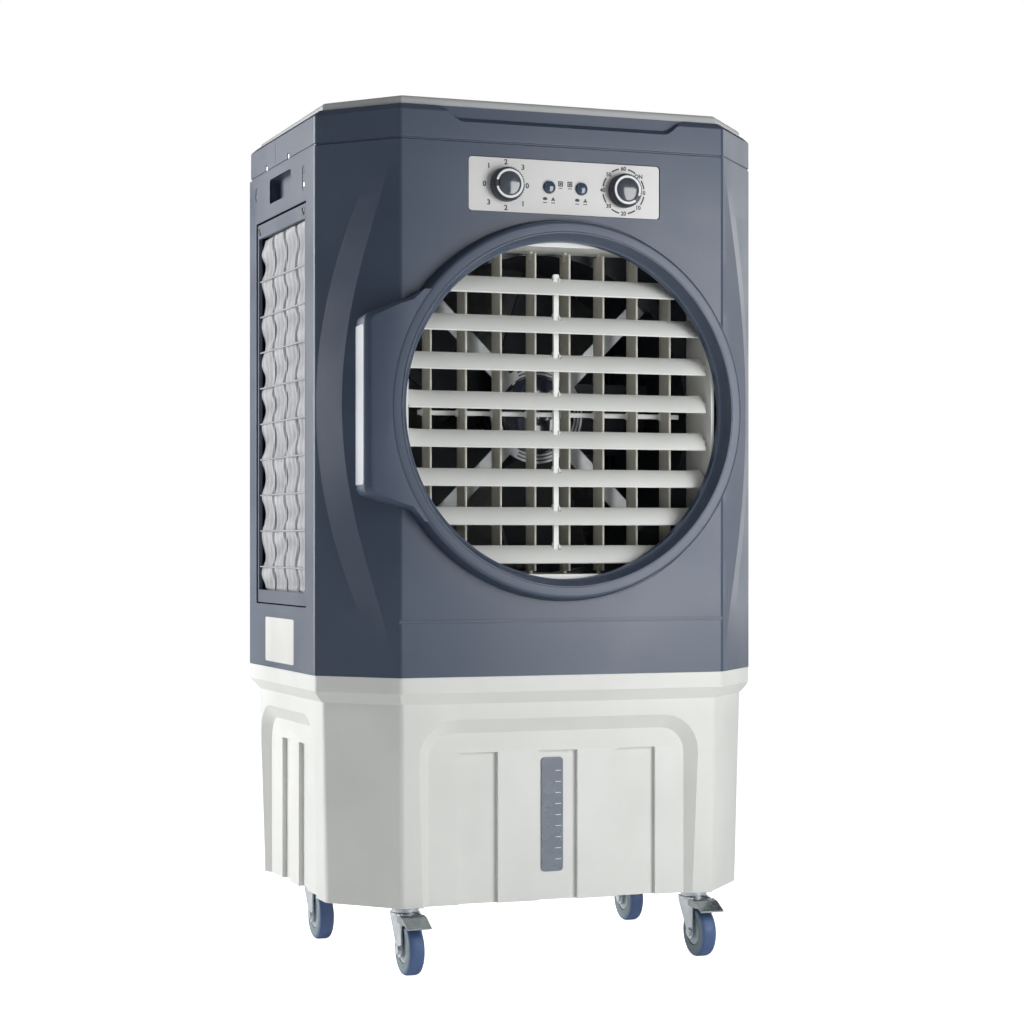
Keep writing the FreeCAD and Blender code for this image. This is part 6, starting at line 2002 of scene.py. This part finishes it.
@dataclass
class SidePanels:
    """Side and rear panels, their screws, the blank label and the fittings at the back."""
    label_front: float = 0.224
    label_rear: float = 0.3925
    label_foot: float = 0.0095
    label_top: float = 0.0785
    wall: float = 0.003
    seam: float = 0.119
    grip_place: float = 0.241
    grip_width: float = 0.126
    grip_drop: float = 0.015
    grip_height: float = 0.038
    grip_depth: float = 0.018
    pad_gap: float = 0.008
    bright_screw: float = 1.165
    rear_inset: float = 0.124
    grille_rows: int = 18
    grille_posts: int = 8
    grille_wire: float = 0.0014
    gland_hole: float = 0.00905
    marks: int = 9
    mark_pitch: float = 0.0165

    def build(self) -> None:
        """Make the panels and the rear grille, soften the fittings, set the screws and the label."""
        for side, word in ((-1, "left"), (1, "right")):
            self.make_side(side, word)
        self.make_rear()
        for node in ("drain_plug", "water_inlet", "mains_gland", "water_distributor", "water_pump", "control_box"):
            soften(node, 0.0009, merge=0.0)
        self.make_window()
        self.make_screws()
        self.make_label()

    def layer(self, side: int, outer: float, inner: float) -> list[float]:
        """Places of two faces at depths under a side's skin, in rising order."""
        return sorted((side * (SIDE - outer), side * (SIDE - inner)))

    def make_side(self, side: int, word: str) -> None:
        """One side panel with its openings, screw recesses and the pocket of its hand grip.

        Args:
            side: -1 for the left side or 1 for the right.
            word: The side's name.
        """
        pad_low, pad_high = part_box(f"pad_frame_{word}")
        pad_hole = rounded_box((pad_low.y - self.pad_gap, pad_low.z - 0.0018),
                               (pad_high.y + 0.0018, pad_high.z + 0.0026), 0.003)
        grip_low = (FRONT + self.grip_place, CASE_TOP - self.grip_drop - self.grip_height)
        grip_high = (grip_low[0] + self.grip_width, grip_low[1] + self.grip_height)
        grip_hole = rounded_box(grip_low, grip_high, 0.005)
        faces = self.layer(side, 0.0, self.wall)
        cutters = [prism("cut", hole, faces[0] - CUT_ROOM, faces[1] + CUT_ROOM, "x") for hole in (pad_hole, grip_hole)]
        for along, up, half_height in ((0.168, 0.740, 0.019), (0.449, 0.752, 0.011)):
            oval = rounded_box((FRONT + along - 0.0075, TANK_TOP + up - half_height),
                               (FRONT + along + 0.0075, TANK_TOP + up + half_height), 0.0074)
            cutters.append(prism("cut", oval, *self.layer(side, -0.01, 0.0008), "x"))
        outline = rounded_box((FRONT + self.seam + 0.0002, WALL_FOOT), (BACK, WALL_TOP), 0.0008)
        dress(settle(subtract(prism(f"side_panel_{word}", outline, *faces, "x"), cutters), 0.0007), "side_panels")
        thick = 0.002
        outline = rounded_box((grip_low[0] - thick, grip_low[1] - thick), (grip_high[0] + thick, grip_high[1] + thick),
                              0.006)
        pocket = prism(f"grip_pocket_{word}", outline, *self.layer(side, 0.0008, self.grip_depth), "x")
        hollow = prism("hollow", grip_hole, *self.layer(side, -0.01, self.grip_depth - thick), "x")
        dress(settle(subtract(pocket, [hollow]), 0.0006), "side_panels", stands=False)

    def make_rear(self) -> None:
        """Rear panel with its raised rim and wire grille."""
        edge = SIDE - self.wall
        half = SIDE - self.rear_inset
        foot, top = (corner.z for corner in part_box("pad_frame_left"))
        opening = rounded_box((-half, foot), (half, top), 0.006)
        gland_low, gland_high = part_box("mains_gland")
        gland = (gland_low + gland_high) / 2
        plate = prism("rear_plate", rounded_box((-edge, WALL_FOOT), (edge, WALL_TOP), 0.0008), BACK - self.wall, BACK)
        subtract(plate, [prism("hole", opening, BACK - CUT_ROOM, BACK + CUT_ROOM),
                         turned("gland", (gland.x, BACK, gland.z), "y",
                                [(-CUT_ROOM, self.gland_hole), (CUT_ROOM, self.gland_hole)], 48)])
        dress(settle(plate, 0.0007), "rear_panel")
        outline = rounded_box((-half - 0.012, foot - 0.012), (half + 0.012, top + 0.012), 0.014)
        rim = window_frame("rear_rim", "y", outline, opening, (BACK - 0.0005, BACK + 0.0018), 0.0008)
        dress(rim, "rear_panel", stands=False)
        pitch = (top - foot) / self.grille_rows
        near, far = BACK - 0.0016, BACK + 0.0004
        lines = [((-half - 0.004, near, foot + pitch * row), (half + 0.004, near, foot + pitch * row))
                 for row in range(1, self.grille_rows)]
        lines += [((across, far, foot - 0.004), (across, far, top + 0.004))
                  for across in (half * (2 * post / self.grille_posts - 1) for post in range(1, self.grille_posts))]
        wire_grid("rear_grille", lines, self.grille_wire, "cabinet")

    def make_window(self) -> None:
        """Level window with rounded corners and graduation lines on it."""
        low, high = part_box("level_window")
        pane = prism("window_pane", rounded_box((low.x, low.z), (high.x, high.z), 0.0055), low.y, high.y)
        dress(settle(pane, 0.0008, 3), "level_window")
        bar = prism_mesh("level_bar", rounded_box((-0.0045, -0.0005), (0.0045, 0.0005), 0.0004), -0.0001, 0.0002, "z")
        places = [((high.x - 0.008, low.y, low.z + 0.018 + self.mark_pitch * step), (0.0, -1.0, 0.0))
                  for step in range(self.marks)]
        spread("level_marks", bar, places, "cabinet", "light_plastic", (), "print_white")

    def screw_places(self) -> dict[bool, list[tuple[Point, Point]]]:
        """Place and outward direction of each of the CAD's screws, the plated ones under True.

        Returns:
            Lists of pairs of a place and a direction.
        """
        bm = merged_copy("screws", 0.0)
        seen, places = set(), {True: [], False: []}
        for start in bm.verts:
            if start in seen:
                continue
            island, queue = [], [start]
            seen.add(start)
            while queue:
                vert = queue.pop()
                island.append(vert)
                for other in (edge.other_vert(vert) for edge in vert.link_edges):
                    if other not in seen:
                        seen.add(other)
                        queue.append(other)
            low = Vector([min(vert.co[axis] for vert in island) for axis in range(3)])
            high = Vector([max(vert.co[axis] for vert in island) for axis in range(3)])
            sign, out = (-1.0, low.x) if low.x < 0 else (1.0, high.x)
            middle = (low + high) / 2
            plated = middle.z > CASE_TOP or abs(middle.z - self.bright_screw) < 0.004
            places[plated].append(((out - sign * 0.0015, middle.y, middle.z), (sign, 0.0, 0.0)))
        bm.free()
        return places

    def make_screws(self) -> None:
        """Set a domed cross-slot screw on every screw of the CAD."""
        places = self.screw_places()
        profile = [(-0.004, 0.0), (-0.004, 0.0019), (0.0, 0.0020), (0.0, 0.0040), (0.0006, 0.0040), (0.0011, 0.0034),
                   (0.0014, 0.0022), (0.0015, 0.0)]
        cutters = [prism("slot", box_corners((-long, -wide), (long, wide)), 0.0006, 0.003, "z")
                   for long, wide in ((0.0022, 0.00045), (0.00045, 0.0022))]
        mesh = joined("screw_head", [subtract(turned("screw_head", ORIGIN, "z", profile, 32), cutters)])
        spread("casing_screws", mesh, places[True], body_of("screws"), slot_of("screws"), ["screws"])
        spread("painted_screws", mesh, places[False], body_of("screws"), "slate_plastic")

    def make_label(self) -> None:
        """Blank light plate low on the left side."""
        outline = rounded_box((FRONT + self.label_front, TANK_TOP + self.label_foot),
                              (FRONT + self.label_rear, TANK_TOP + self.label_top), 0.004)
        plate = prism("side_plate", outline, -SIDE - 0.0002, -SIDE + 0.0004, "x")
        place_piece(settle(plate, 0.0001, 1), "cabinet", "light_plastic", (), "blank_label")


# Carried-over CAD pieces

def dress_nodes() -> None:
    """Give every CAD piece its slot's finish."""
    for row in frame["record"]["subparts"]:
        node = frame["nodes"][row["node"]]
        for place in node.material_slots:
            place.material = PALETTE.get(row["material_slot"])
        log.info("dressed %s as %s", row["node"], row["material_slot"])


def main() -> None:
    """Build every sub-assembly in order."""
    logging.basicConfig(level=logging.INFO, format="%(name)s: %(message)s")
    Studio().build()
    dress_nodes()
    for assembly in (FrontShell(), Lid(), Tank(), Bezel(), Controls(), Louvre(), FanSet(), Pads(), Castors(),
                     SidePanels()):
        assembly.build()


if __name__ == "__main__":
    main()
